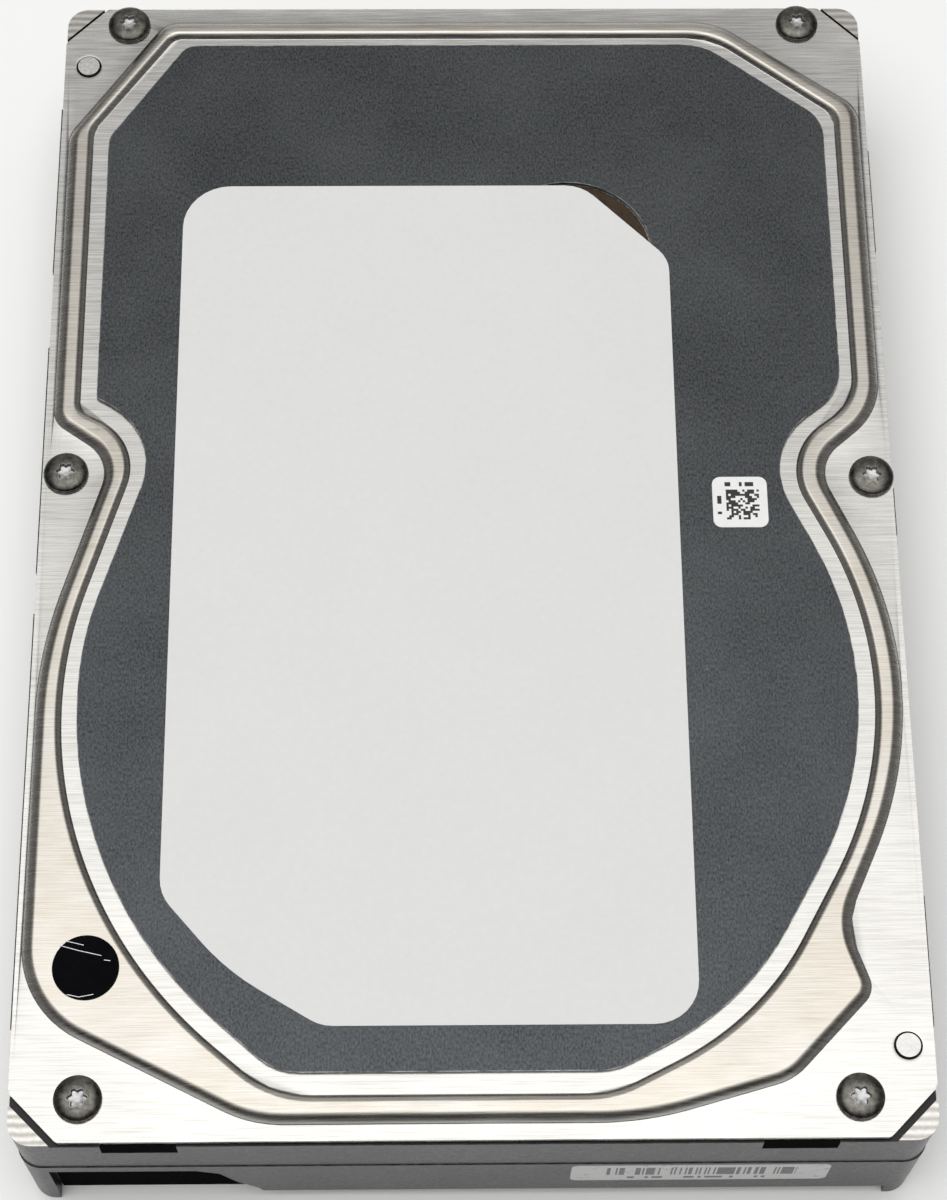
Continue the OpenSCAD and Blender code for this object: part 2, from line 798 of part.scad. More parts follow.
// Power and data plug: two keyed tongues between guide posts
plug_x = [-7.6, 36.2];
module interface_connector()
    color("#17181a") {
        difference() {
            block([plug_x[0], 64.5, board_top], [plug_x[1], 68.6, 6.4]);
            block([plug_x[0] + 3, 64, 4.4], [plug_x[1] - 3, 65.6, 7]);
        }
        block([plug_x[0], 68.5, 1.1], [plug_x[1], 69.4, 6.4]);
        // Guide posts at the ends and the divider between the tongues
        for (x = [plug_x[0], plug_x[1] - 2.2]) block([x, 69.3, 1.6], [x + 2.2, 73.2, 6.2]);
        block([4.3, 69.3, 2.9], [5.9, 71.6, 5.6]);
        // Data tongue, power tongue and their keys
        block([-4.2, 69.3, 2.9], [4.4, 73, 4.1]);
        block([-4.2, 69.3, 1.7], [-3, 73, 2.95]);
        block([7.6, 69.3, 2.9], [32.2, 73, 4.1]);
        block([31, 69.3, 1.7], [32.2, 73, 2.95]);
    }

module interface_contacts()
    color("#d9b44a")
        for (x = concat([for (i = [0:6]) -1.8 + 1.0 * i - 0.6], [for (i = [0:14]) 9 + 1.45 * i]))
            block([x, 69.4, 2.8], [x + 0.7, 72.7, 2.9]);

module jumper_header()
    color("#17181a") {
        block([-18.4, 67.4, board_top], [-10.4, 70, 6.2]);
        for (i = [0:3]) block([-17.6 + 2 * i, 69.9, 4], [-17.1 + 2 * i, 73, 4.5]);
    }

module controller_chip() color("#1b1c1f") block([-16, 28, board_top], [0, 44, 4]);
module cache_chip() color("#1b1c1f") block([8, 30, board_top], [18, 43, 3.6]);
module motor_driver_chip() color("#1b1c1f") block([8, 17, board_top], [17, 26, 3.5]);

module board_parts()
    color("#8a6d3b") {
        // Filter capacitors, coils and surge parts in rows
        for (i = [0:3]) block([-34, 18 + 6 * i, board_top], [-30.4, 21 + 6 * i, 4.1]);
        for (i = [0:2]) block([24, 20 + 8 * i, board_top], [30, 25 + 8 * i, 4.2]);
        for (i = [0:4]) block([-24 + 4 * i, 22, board_top], [-22.4 + 4 * i, 23, 3.4]);
        for (i = [0:5]) block([2, 28 + 2.4 * i, board_top], [3.6, 29 + 2.4 * i, 3.2]);
    }

module underside_seals()
    color("#c9cbcd") {
        translate([-33, -48, 0]) rod(5.5, under_z - foil_t, under_z);
        translate([34, -46, 0]) rod(3.6, under_z - foil_t, under_z);
        slab(under_z - foil_t, under_z)
            polygon(outline([[-42, -4, 1], [-30, -4, 1], [-30, -20, 1], [-42, -20, 1]]));
    }

base_casting();
top_cover();
cover_gasket();
damping_plate();
main_label();
matrix_label();
end_label();
port_seal();
cover_screws();
shaft_screws();
locating_pins();
motor_flange();
motor_lead();
stator_core();
stator_coils();
spindle_shaft();
pivot_shaft();
lower_yoke();
upper_yoke();
lower_magnet();
upper_magnet();
yoke_posts();
load_ramp();
crash_stops();
recirculation_filter();
breather_filter();
flex_bracket();
interior_screws();
flex_loop();
feedthrough_connector();
circuit_board();
underside_screws();
board_foam();
interface_connector();
interface_contacts();
jumper_header();
controller_chip();
cache_chip();
motor_driver_chip();
board_parts();
underside_seals();
latch_pin();
spindle_hub();
bearing_sleeve();
rotor_magnet();
platter_1();
platter_2();
platter_3();
spacer_1();
spacer_2();
disk_clamp();
clamp_screws();
arm_block();
pivot_bearing();
voice_coil();
coil_fork();
suspensions();
head_sliders();
preamp_board();
actuator_latch();
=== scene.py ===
import bmesh
import bpy
import json
import math
import random
from mathutils import Matrix, Vector
from mathutils.geometry import delaunay_2d_cdt


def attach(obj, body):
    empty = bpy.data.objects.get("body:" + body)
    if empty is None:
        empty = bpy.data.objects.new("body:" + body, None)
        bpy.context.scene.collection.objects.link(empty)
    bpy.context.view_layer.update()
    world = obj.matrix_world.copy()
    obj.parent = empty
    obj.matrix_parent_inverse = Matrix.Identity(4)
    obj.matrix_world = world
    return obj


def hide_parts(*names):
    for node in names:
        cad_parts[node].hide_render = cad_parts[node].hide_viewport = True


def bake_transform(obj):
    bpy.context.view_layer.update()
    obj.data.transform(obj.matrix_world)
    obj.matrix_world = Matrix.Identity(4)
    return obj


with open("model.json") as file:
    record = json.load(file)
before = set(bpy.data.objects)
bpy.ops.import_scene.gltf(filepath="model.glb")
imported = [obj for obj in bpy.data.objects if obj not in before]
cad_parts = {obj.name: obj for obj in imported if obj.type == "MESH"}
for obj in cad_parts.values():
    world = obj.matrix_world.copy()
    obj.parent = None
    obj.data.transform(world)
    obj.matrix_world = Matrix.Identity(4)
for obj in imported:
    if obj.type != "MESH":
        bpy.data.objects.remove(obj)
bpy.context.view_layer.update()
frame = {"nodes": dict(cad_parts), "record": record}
nodes = frame["nodes"]
mm = 0.001
print("frame loaded:", len(nodes), "nodes")


def newGroup(name, inputs, outputs):
    group = bpy.data.node_groups.new(name, "ShaderNodeTree")
    for label, kind, value in inputs:
        socket = group.interface.new_socket(name=label, in_out="INPUT", socket_type="NodeSocket" + kind)
        socket.default_value = value
    for label, kind in outputs:
        group.interface.new_socket(name=label, in_out="OUTPUT", socket_type="NodeSocket" + kind)
    return group, group.nodes.new("NodeGroupInput"), group.nodes.new("NodeGroupOutput")


def wire(tree, source, target):
    # source is a socket or a plain value
    if isinstance(source, bpy.types.NodeSocket):
        tree.links.new(source, target)
    else:
        target.default_value = source


def calc(tree, operation, a, b=0.0, clamp=False):
    node = tree.nodes.new("ShaderNodeMath")
    node.operation = operation
    node.use_clamp = clamp
    wire(tree, a, node.inputs[0])
    wire(tree, b, node.inputs[1])
    return node.outputs[0]


def spread(tree, value, low, high, toLow, toHigh, smooth=False):
    node = tree.nodes.new("ShaderNodeMapRange")
    node.interpolation_type = "SMOOTHSTEP" if smooth else "LINEAR"
    labels = ("Value", "From Min", "From Max", "To Min", "To Max")
    for label, source in zip(labels, (value, low, high, toLow, toHigh)):
        wire(tree, source, node.inputs[label])
    return node.outputs[0]


def blendColour(tree, share, a, b, mode="MIX"):
    node = tree.nodes.new("ShaderNodeMix")
    node.data_type = "RGBA"
    node.blend_type = mode
    wire(tree, share, node.inputs[0])
    wire(tree, a, node.inputs[6])
    wire(tree, b, node.inputs[7])
    return node.outputs[2]


def noise(tree, vector, scale, detail=4.0, roughness=0.55):
    node = tree.nodes.new("ShaderNodeTexNoise")
    tree.links.new(vector, node.inputs["Vector"])
    node.inputs["Scale"].default_value = scale
    node.inputs["Detail"].default_value = detail
    node.inputs["Roughness"].default_value = roughness
    return node.outputs["Fac"]


def vectorCalc(tree, operation, a, b=(0, 0, 0)):
    node = tree.nodes.new("ShaderNodeVectorMath")
    node.operation = operation
    wire(tree, a, node.inputs[0])
    wire(tree, b, node.inputs[1])
    return node.outputs[0]


def spaceIn(tree, stretch):
    # object position, in mm, stretched along each axis
    coordinates = tree.nodes.new("ShaderNodeTexCoord")
    stretched = vectorCalc(tree, "MULTIPLY", coordinates.outputs["Object"], stretch)
    inMillimetres = tree.nodes.new("ShaderNodeVectorMath")
    inMillimetres.operation = "SCALE"
    inMillimetres.inputs["Scale"].default_value = 1 / mm
    tree.links.new(stretched, inMillimetres.inputs[0])
    return inMillimetres.outputs[0]


studio = dict(
    cameraSpot=(-3.875, -146.752, 335.968),  # mm
    cameraTurn=(0.415972, -0.012925, -0.0046012),  # radians about X, Y and Z
    lens=110.74,
    sensor=36,
    nearestSeen=10,  # mm
    floorTone=(0.93, 0.93, 0.925, 1),
    floorRoughness=0.9,
    floorShine=0.1,
    floorReach=4,  # m
    floorDrop=0.02,  # mm below the feet
    skyTint=(1, 0.993, 0.98, 1),
    skyBright=1.9,  # the soft box overhead, seen in the metal
    skyFar=0.48,
    skyNear=0.04,
    skyAside=0.08,  # what is left of the soft box at its sides
    skyWall=0.17,  # the room's walls, all round
    skyBehind=0.7,  # the pale wall behind the camera
    # where each part of the sky fades, as a share of the direction along Y, |X| or Z
    nearFade=(-0.55, 0.0),
    farFade=(0.2, 0.6),
    asideFade=(0.2, 0.6),
    wallFade=(0.62, 0.4),
    behindFade=(0.5, 0.36),
    behindTurn=(-0.5, -0.75),
    topPower=17,
    topSpot=(-0.25, -0.2, 1.6),  # m
    topSize=1.5,
)


def aimAt(spot, target):
    # matrix that puts a light at spot and points it at target
    turn = (Vector(target) - Vector(spot)).to_track_quat("-Z", "Y").to_matrix().to_4x4()
    return Matrix.Translation(spot) @ turn


def makeCamera(look):
    camera = bpy.data.objects.new("camera", bpy.data.cameras.new("camera"))
    bpy.context.scene.collection.objects.link(camera)
    camera.data.sensor_fit = "HORIZONTAL"
    camera.data.sensor_width = look["sensor"]
    camera.data.lens = look["lens"]
    camera.data.clip_start = look["nearestSeen"] * mm
    turnX, turnY, turnZ = (
        Matrix.Rotation(angle, 4, axis) for angle, axis in zip(look["cameraTurn"], "XYZ")
    )
    camera.matrix_world = Matrix.Translation(Vector(look["cameraSpot"]) * mm) @ turnX @ turnY @ turnZ
    bpy.context.scene.camera = camera


def makeSky(look):
    # one soft box overhead, grey beyond the object and dark before it, with a room round it
    world = bpy.data.worlds.new("studioRoom")
    bpy.context.scene.world = world
    world.use_nodes = True
    tree = world.node_tree
    background = tree.nodes["Background"]
    way = tree.nodes.new("ShaderNodeSeparateXYZ")
    tree.links.new(tree.nodes.new("ShaderNodeTexCoord").outputs["Generated"], way.inputs[0])
    side = calc(tree, "ABSOLUTE", way.outputs["X"])
    near = spread(tree, way.outputs["Y"], *look["nearFade"], look["skyNear"], look["skyBright"], True)
    far = spread(tree, way.outputs["Y"], *look["farFade"], 1.0, look["skyFar"] / look["skyBright"], True)
    aside = spread(tree, side, *look["asideFade"], 1.0, look["skyAside"], True)
    overhead = calc(tree, "MULTIPLY", calc(tree, "MULTIPLY", near, far), aside)
    walls = spread(tree, way.outputs["Z"], *look["wallFade"], 0.0, look["skyWall"], True)
    behind = spread(tree, way.outputs["Z"], *look["behindFade"], 0.0, look["skyBehind"], True)
    facingUs = spread(tree, way.outputs["Y"], *look["behindTurn"], 0.0, 1.0, True)
    room = calc(tree, "MAXIMUM", walls, calc(tree, "MULTIPLY", behind, facingUs))
    tree.links.new(calc(tree, "MAXIMUM", overhead, room), background.inputs["Strength"])
    background.inputs["Color"].default_value = look["skyTint"]


def makeLight(name, look):
    light = bpy.data.objects.new(name, bpy.data.lights.new(name, "AREA"))
    bpy.context.scene.collection.objects.link(light)
    light.data.shape = "DISK"
    light.data.size = look["topSize"]
    light.data.energy = look["topPower"]
    light.matrix_world = aimAt(look["topSpot"], (0, 0, 0))
    light.visible_glossy = False


def makeFloor(look):
    bm = bmesh.new()
    bmesh.ops.create_grid(bm, x_segments=1, y_segments=1, size=look["floorReach"])
    mesh = bpy.data.meshes.new("studioFloor")
    bm.to_mesh(mesh)
    bm.free()
    floor = bpy.data.objects.new("studioFloor", mesh)
    bpy.context.scene.collection.objects.link(floor)
    floor.location.z = -look["floorDrop"] * mm
    paint = bpy.data.materials.new("studioFloor")
    paint.use_nodes = True
    shader = paint.node_tree.nodes["Principled BSDF"]
    shader.inputs["Base Color"].default_value = look["floorTone"]
    shader.inputs["Roughness"].default_value = look["floorRoughness"]
    shader.inputs["Specular IOR Level"].default_value = look["floorShine"]
    mesh.materials.append(paint)


makeCamera(studio)
makeSky(studio)
makeLight("topLight", studio)
makeFloor(studio)
bpy.context.scene.view_settings.view_transform = "Standard"
print("camera, light and floor are in place")


def makeGrainGroup():
    # two sizes of stretched grain that shift the colour, the gloss and the height together
    group, into, out = newGroup(
        "stretchedGrain",
        [("Stretch", "Vector", (1, 1, 1)), ("Dark", "Color", (0.1, 0.1, 0.1, 1)),
         ("Light", "Color", (0.2, 0.2, 0.2, 1)), ("Rough Low", "Float", 0.3), ("Rough High", "Float", 0.5),
         ("Blotch", "Float", 0.3)],
        [("Color", "Color"), ("Roughness", "Float"), ("Height", "Float")],
    )
    fine = noise(group, spaceIn(group, into.outputs["Stretch"]), 1.0, 6.0, 0.6)
    even = spaceIn(group, (1, 1, 1))
    wide = calc(group, "SUBTRACT", noise(group, even, 0.07, 3.0), 0.5)
    mixed = calc(group, "ADD", calc(group, "MULTIPLY", into.outputs["Blotch"], wide), fine)
    share = spread(group, mixed, 0.28, 0.72, 0.0, 1.0)
    colour = blendColour(group, share, into.outputs["Dark"], into.outputs["Light"])
    group.links.new(colour, out.inputs["Color"])
    gloss = spread(group, mixed, 0.25, 0.75, into.outputs["Rough Low"], into.outputs["Rough High"])
    group.links.new(gloss, out.inputs["Roughness"])
    group.links.new(fine, out.inputs["Height"])
    return group


def makeEdgeWearAndHighlightGroup():
    # lighter edges and corners: partly rubbed wear, partly a painted edge highlight
    group, into, out = newGroup(
        "edgeWearAndPaintedHighlight",
        [("Color", "Color", (0.1, 0.1, 0.1, 1)), ("Worn And Lit", "Color", (0.5, 0.5, 0.5, 1)),
         ("Amount", "Float", 0.5)],
        [("Color", "Color"), ("Mask", "Float")],
    )
    bevel = group.nodes.new("ShaderNodeBevel")
    bevel.samples = 4
    bevel.inputs["Radius"].default_value = 0.25 * mm
    shape = group.nodes.new("ShaderNodeNewGeometry")
    dot = group.nodes.new("ShaderNodeVectorMath")
    dot.operation = "DOT_PRODUCT"
    group.links.new(bevel.outputs[0], dot.inputs[0])
    group.links.new(shape.outputs["Normal"], dot.inputs[1])
    # mask of the rounded edges, lightened both as wear and as a painted highlight
    rubbedAndLit = spread(group, dot.outputs["Value"], 0.97, 0.8, 0.0, 1.0)
    patchy = spread(group, noise(group, spaceIn(group, (1, 1, 1)), 0.6, 5.0), 0.4, 0.62, 0.0, 1.0)
    mask = calc(group, "MULTIPLY", calc(group, "MULTIPLY", rubbedAndLit, patchy), into.outputs["Amount"], True)
    colour = blendColour(group, mask, into.outputs["Color"], into.outputs["Worn And Lit"])
    group.links.new(colour, out.inputs["Color"])
    group.links.new(mask, out.inputs["Mask"])
    return group


def makeDustGroup():
    # sparse pale specks and short hairline scratches
    group, into, out = newGroup(
        "dustAndScratches",
        [("Color", "Color", (0.1, 0.1, 0.1, 1)), ("Dust", "Color", (0.6, 0.6, 0.58, 1)),
         ("Specks", "Float", 0.4), ("Scratches", "Float", 0.3)],
        [("Color", "Color"), ("Mask", "Float")],
    )
    even = spaceIn(group, (1, 1, 1))
    cells = group.nodes.new("ShaderNodeTexVoronoi")
    cells.inputs["Scale"].default_value = 0.45
    group.links.new(even, cells.inputs["Vector"])
    speck = spread(group, cells.outputs["Distance"], 0.045, 0.03, 0.0, 1.0)
    chosen = spread(group, noise(group, even, 0.11, 2.0), 0.5, 0.58, 0.0, 1.0)
    specks = calc(group, "MULTIPLY", calc(group, "MULTIPLY", speck, chosen), into.outputs["Specks"])
    warp = noise(group, even, 0.05, 2.0)
    lines = group.nodes.new("ShaderNodeTexWave")
    lines.inputs["Scale"].default_value = 0.06
    lines.inputs["Distortion"].default_value = 26
    lines.inputs["Detail"].default_value = 1
    lines.inputs["Detail Scale"].default_value = 0.6
    group.links.new(spaceIn(group, (1, 0.6, 1)), lines.inputs["Vector"])
    hair = spread(group, lines.outputs["Fac"], 0.9985, 0.9998, 0.0, 1.0)
    rare = spread(group, warp, 0.55, 0.6, 0.0, 1.0)
    scratches = calc(group, "MULTIPLY", calc(group, "MULTIPLY", hair, rare), into.outputs["Scratches"])
    mask = calc(group, "MAXIMUM", specks, scratches, True)
    colour = blendColour(group, mask, into.outputs["Color"], into.outputs["Dust"])
    group.links.new(colour, out.inputs["Color"])
    group.links.new(mask, out.inputs["Mask"])
    return group


def makeCellsGroup():
    # random printed cells inside a block: small squares, or bars where a cell is very tall
    group, into, out = newGroup(
        "printedCells",
        [("Origin", "Vector", (0, 0, 0)), ("Cell", "Vector", (1, 1, 1)), ("Extent", "Vector", (1, 1, 1))],
        [("Mask", "Float")],
    )
    local = vectorCalc(group, "SUBTRACT", spaceIn(group, (1, 1, 1)), into.outputs["Origin"])
    cell = vectorCalc(group, "FLOOR", vectorCalc(group, "DIVIDE", local, into.outputs["Cell"]))
    dice = group.nodes.new("ShaderNodeTexWhiteNoise")
    group.links.new(cell, dice.inputs["Vector"])
    mask = calc(group, "GREATER_THAN", dice.outputs["Value"], 0.48)  # about half the cells are printed
    spot = group.nodes.new("ShaderNodeSeparateXYZ")
    group.links.new(local, spot.inputs[0])
    size = group.nodes.new("ShaderNodeSeparateXYZ")
    group.links.new(into.outputs["Extent"], size.inputs[0])
    for axis in "XYZ":
        past = calc(group, "GREATER_THAN", spot.outputs[axis], 0.0)
        before = calc(group, "LESS_THAN", spot.outputs[axis], size.outputs[axis])
        mask = calc(group, "MULTIPLY", calc(group, "MULTIPLY", mask, past), before)
    group.links.new(mask, out.inputs["Mask"])
    return group


grainGroup = makeGrainGroup()
cellsGroup = makeCellsGroup()
edgeWearAndHighlightGroup = makeEdgeWearAndHighlightGroup()
dustGroup = makeDustGroup()


def placeGroup(tree, group, values):
    node = tree.nodes.new("ShaderNodeGroup")
    node.node_tree = group
    for label, value in values.items():
        wire(tree, value, node.inputs[label])
    return node


def rgba(colour):
    return (*colour, 1) if len(colour) == 3 else colour


def makeFinish(name, dark, light, stretch=(1, 1, 1), rough=(0.4, 0.55), metallic=0.0, bump=0.1,
               bumpDepth=0.05, blotch=0.4, wearAndHighlight=0.0, wornAndLitTone=(0.5, 0.5, 0.5), specks=0.0, scratches=0.0,
               coat=0.0, specular=0.5, dust=(0.62, 0.62, 0.6)):
    # the common build: grain, then lighter edges (rubbed wear and painted edge highlight), then dust
    material = bpy.data.materials.new(name)
    material.use_nodes = True
    tree = material.node_tree
    shader = tree.nodes["Principled BSDF"]
    grain = placeGroup(tree, grainGroup, {"Stretch": stretch, "Dark": rgba(dark), "Light": rgba(light),
                                          "Rough Low": rough[0], "Rough High": rough[1], "Blotch": blotch})
    colour = grain.outputs["Color"]
    # lighter edges: partly rubbed wear, partly a painted edge highlight
    if wearAndHighlight:
        rubbedAndLit = placeGroup(tree, edgeWearAndHighlightGroup, {"Color": colour, "Worn And Lit": rgba(wornAndLitTone), "Amount": wearAndHighlight})
        colour = rubbedAndLit.outputs["Color"]
    if specks or scratches:
        dusty = placeGroup(tree, dustGroup, {"Color": colour, "Dust": rgba(dust), "Specks": specks,
                                             "Scratches": scratches})
        colour = dusty.outputs["Color"]
    tree.links.new(colour, shader.inputs["Base Color"])
    tree.links.new(grain.outputs["Roughness"], shader.inputs["Roughness"])
    if bump:
        relief = tree.nodes.new("ShaderNodeBump")
        relief.inputs["Strength"].default_value = bump
        relief.inputs["Distance"].default_value = bumpDepth * mm
        tree.links.new(grain.outputs["Height"], relief.inputs["Height"])
        tree.links.new(relief.outputs[0], shader.inputs["Normal"])
    shader.inputs["Metallic"].default_value = metallic
    shader.inputs["Coat Weight"].default_value = coat
    shader.inputs["Specular IOR Level"].default_value = specular
    return material


# stretch is grain lines per mm along x, y and z
# the edge settings below lighten the rims: partly rubbed wear, partly a painted edge highlight
finishes = {
    "cast_black": dict(
        dark=(0.006, 0.006, 0.007), light=(0.016, 0.016, 0.018), stretch=(2.2, 2.2, 2.2),
        rough=(0.24, 0.38), bump=0.25, bumpDepth=0.06, wearAndHighlight=0.35, wornAndLitTone=(0.25, 0.25, 0.26), specks=0.25,
        specular=0.3,
    ),
    "cover_steel": dict(
        dark=(0.5, 0.49, 0.465), light=(0.8, 0.79, 0.77), stretch=(0.15, 5.5, 1), rough=(0.2, 0.32),
        metallic=1.0, bump=0.3, bumpDepth=0.02, blotch=0.35, specks=0.2, scratches=0.35,
    ),
    "gasket": dict(
        dark=(0.004, 0.004, 0.004), light=(0.01, 0.01, 0.01), stretch=(4, 4, 4), rough=(0.8, 0.95),
        bump=0.3, specular=0.0,
    ),
    "damping_sheet": dict(
        dark=(0.026, 0.029, 0.032), light=(0.135, 0.144, 0.152), stretch=(4.6, 2.6, 1),
        rough=(0.3, 0.42), metallic=0.9, bump=0.4, bumpDepth=0.03, blotch=0.25, wearAndHighlight=0.9,
        wornAndLitTone=(0.7, 0.71, 0.72), specks=0.25,
    ),
    "label_paper": dict(
        dark=(0.70, 0.70, 0.697), light=(0.73, 0.73, 0.727), stretch=(1.2, 1.2, 1.2), rough=(0.4, 0.5),
        bump=0.06, bumpDepth=0.02, blotch=0.6, specks=0.05,
    ),
    "black_foil": dict(
        dark=(0.0006, 0.0006, 0.0009), light=(0.0025, 0.0025, 0.0035), rough=(0.15, 0.3),
        specular=0.02, scratches=1.0, blotch=1.0,
    ),
    "screw_steel": dict(
        dark=(0.06, 0.058, 0.05), light=(0.24, 0.232, 0.21), stretch=(1.6, 1.6, 1.6),
        rough=(0.2, 0.32), metallic=1.0, bumpDepth=0.01, wearAndHighlight=0.6, wornAndLitTone=(0.75, 0.74, 0.72), specks=0.1,
    ),
    "brown_film": dict(
        dark=(0.02, 0.011, 0.005), light=(0.05, 0.03, 0.015), rough=(0.2, 0.35), bump=0.2,
        specular=0.25, blotch=1.0,
    ),
    "board_green": dict(
        dark=(0.006, 0.05, 0.026), light=(0.011, 0.075, 0.04), stretch=(0.6, 0.6, 0.6),
        rough=(0.2, 0.3), bump=0.15, bumpDepth=0.02, coat=0.3, blotch=0.8, specks=0.1,
    ),
    "board_track": dict(
        dark=(0.016, 0.12, 0.06), light=(0.024, 0.16, 0.085), rough=(0.18, 0.28), bump=0.05, coat=0.3,
    ),
    "board_ink": dict(
        dark=(0.6, 0.62, 0.6), light=(0.75, 0.77, 0.74), stretch=(4, 4, 4), rough=(0.5, 0.65),
    ),
    "pad_tin": dict(
        dark=(0.62, 0.5, 0.28), light=(0.82, 0.7, 0.45), stretch=(2, 2, 2), rough=(0.2, 0.36),
        metallic=1.0, bump=0.2, bumpDepth=0.03,
    ),
    "pin_steel": dict(
        dark=(0.55, 0.55, 0.54), light=(0.85, 0.85, 0.83), stretch=(3, 3, 3), rough=(0.3, 0.4),
        metallic=1.0,
    ),
    "motor_metal": dict(
        dark=(0.4, 0.41, 0.42), light=(0.6, 0.61, 0.62), stretch=(2, 2, 2), rough=(0.26, 0.4),
        metallic=1.0, bump=0.15, bumpDepth=0.02, wearAndHighlight=0.5, wornAndLitTone=(0.8, 0.8, 0.8), specks=0.2,
    ),
    "polyimide": dict(
        dark=(0.42, 0.15, 0.015), light=(0.62, 0.26, 0.04), stretch=(0.3, 1.4, 0.3), rough=(0.2, 0.35),
        bump=0.08, coat=0.5,
    ),
    "lamination": dict(
        dark=(0.16, 0.16, 0.17), light=(0.42, 0.42, 0.43), stretch=(0.4, 0.4, 9), rough=(0.35, 0.5),
        metallic=1.0, bump=0.6,
    ),
    "copper": dict(
        dark=(0.3, 0.1, 0.03), light=(0.85, 0.4, 0.2), stretch=(0.8, 0.8, 7), rough=(0.2, 0.36),
        metallic=1.0, bump=0.9, bumpDepth=0.08, coat=0.3,
    ),
    "shaft_steel": dict(
        dark=(0.5, 0.5, 0.51), light=(0.72, 0.72, 0.73), stretch=(0.6, 0.6, 6), rough=(0.14, 0.26),
        metallic=1.0, bumpDepth=0.02,
    ),
    "yoke_steel": dict(
        dark=(0.6, 0.61, 0.62), light=(0.68, 0.69, 0.7), rough=(0.16, 0.3), metallic=1.0, bump=0.08,
        wearAndHighlight=0.4, wornAndLitTone=(0.9, 0.9, 0.9),
    ),
    "magnet_nickel": dict(
        dark=(0.56, 0.56, 0.55), light=(0.74, 0.74, 0.72), stretch=(0.7, 0.7, 0.7), rough=(0.12, 0.22),
        metallic=1.0, bump=0.05,
    ),
    "magnet_black": dict(
        dark=(0.03, 0.03, 0.034), light=(0.07, 0.07, 0.075), stretch=(3, 3, 3), rough=(0.4, 0.6),
        bump=0.3,
    ),
    "ivory_plastic": dict(dark=(0.62, 0.57, 0.46), light=(0.76, 0.72, 0.61), rough=(0.35, 0.5)),
    "stop_rubber": dict(
        dark=(0.12, 0.035, 0.025), light=(0.22, 0.07, 0.05), stretch=(2, 2, 2), rough=(0.6, 0.8),
        bump=0.3,
    ),
    "filter_cloth": dict(
        dark=(0.6, 0.59, 0.55), light=(0.85, 0.84, 0.8), stretch=(5, 5, 5), rough=(0.8, 0.95),
        bump=0.9, bumpDepth=0.1,
    ),
    "filter_plastic": dict(dark=(0.62, 0.6, 0.54), light=(0.76, 0.74, 0.68)),
    "bracket_steel": dict(
        dark=(0.42, 0.42, 0.42), light=(0.64, 0.64, 0.64), stretch=(0.3, 4, 1), rough=(0.25, 0.4),
        metallic=1.0, bump=0.15,
    ),
    "black_plastic": dict(
        dark=(0.008, 0.008, 0.009), light=(0.026, 0.026, 0.028), stretch=(4, 4, 4), rough=(0.34, 0.5),
        bump=0.3, wearAndHighlight=0.3, wornAndLitTone=(0.1, 0.1, 0.1),
    ),
    "foam_grey": dict(
        dark=(0.015, 0.015, 0.017), light=(0.05, 0.05, 0.055), stretch=(3, 3, 3), rough=(0.85, 0.95),
        bump=0.9, bumpDepth=0.2,
    ),
    "contact_gold": dict(
        dark=(0.72, 0.48, 0.14), light=(0.9, 0.66, 0.28), stretch=(6, 0.6, 1), rough=(0.14, 0.26),
        metallic=1.0, bump=0.08,
    ),
    "chip_black": dict(
        dark=(0.01, 0.01, 0.011), light=(0.028, 0.028, 0.03), stretch=(6, 6, 6), rough=(0.45, 0.6),
        bump=0.4,
    ),
    "parts_tan": dict(
        dark=(0.2, 0.12, 0.06), light=(0.42, 0.3, 0.18), stretch=(0.5, 0.5, 0.5), rough=(0.35, 0.5),
        blotch=1.2,
    ),
    "seal_foil": dict(
        dark=(0.58, 0.59, 0.6), light=(0.78, 0.79, 0.8), stretch=(0.2, 3, 1), rough=(0.22, 0.38),
        metallic=1.0, bump=0.3, bumpDepth=0.02,
    ),
    "bronze": dict(
        dark=(0.4, 0.27, 0.12), light=(0.66, 0.5, 0.28), stretch=(4, 4, 4), rough=(0.3, 0.45),
        metallic=1.0, bump=0.2,
    ),
    "platter_mirror": dict(
        dark=(0.78, 0.79, 0.8), light=(0.84, 0.85, 0.86), stretch=(0.2, 0.2, 0.2), rough=(0.02, 0.045),
        metallic=1.0, bump=0.0,
    ),
    "spacer_alu": dict(
        dark=(0.64, 0.65, 0.66), light=(0.72, 0.73, 0.74), stretch=(0.5, 0.5, 5), rough=(0.18, 0.3),
        metallic=1.0, bump=0.12,
    ),
    "arm_alu": dict(
        dark=(0.64, 0.65, 0.66), light=(0.73, 0.74, 0.75), stretch=(0.8, 0.8, 4), rough=(0.22, 0.34),
        metallic=1.0, bump=0.12, wearAndHighlight=0.5, wornAndLitTone=(0.9, 0.9, 0.9),
    ),
    "fork_plastic": dict(
        dark=(0.012, 0.012, 0.013), light=(0.032, 0.032, 0.034), stretch=(3, 3, 3), bump=0.2,
    ),
    "suspension_steel": dict(
        dark=(0.6, 0.61, 0.62), light=(0.78, 0.79, 0.8), rough=(0.14, 0.24), metallic=1.0, bump=0.05,
    ),
    "slider_ceramic": dict(
        dark=(0.03, 0.03, 0.034), light=(0.07, 0.07, 0.08), stretch=(6, 6, 6), rough=(0.2, 0.3),
        bump=0.05,
    ),
}
finished = {name: makeFinish(name, **look) for name, look in finishes.items()}


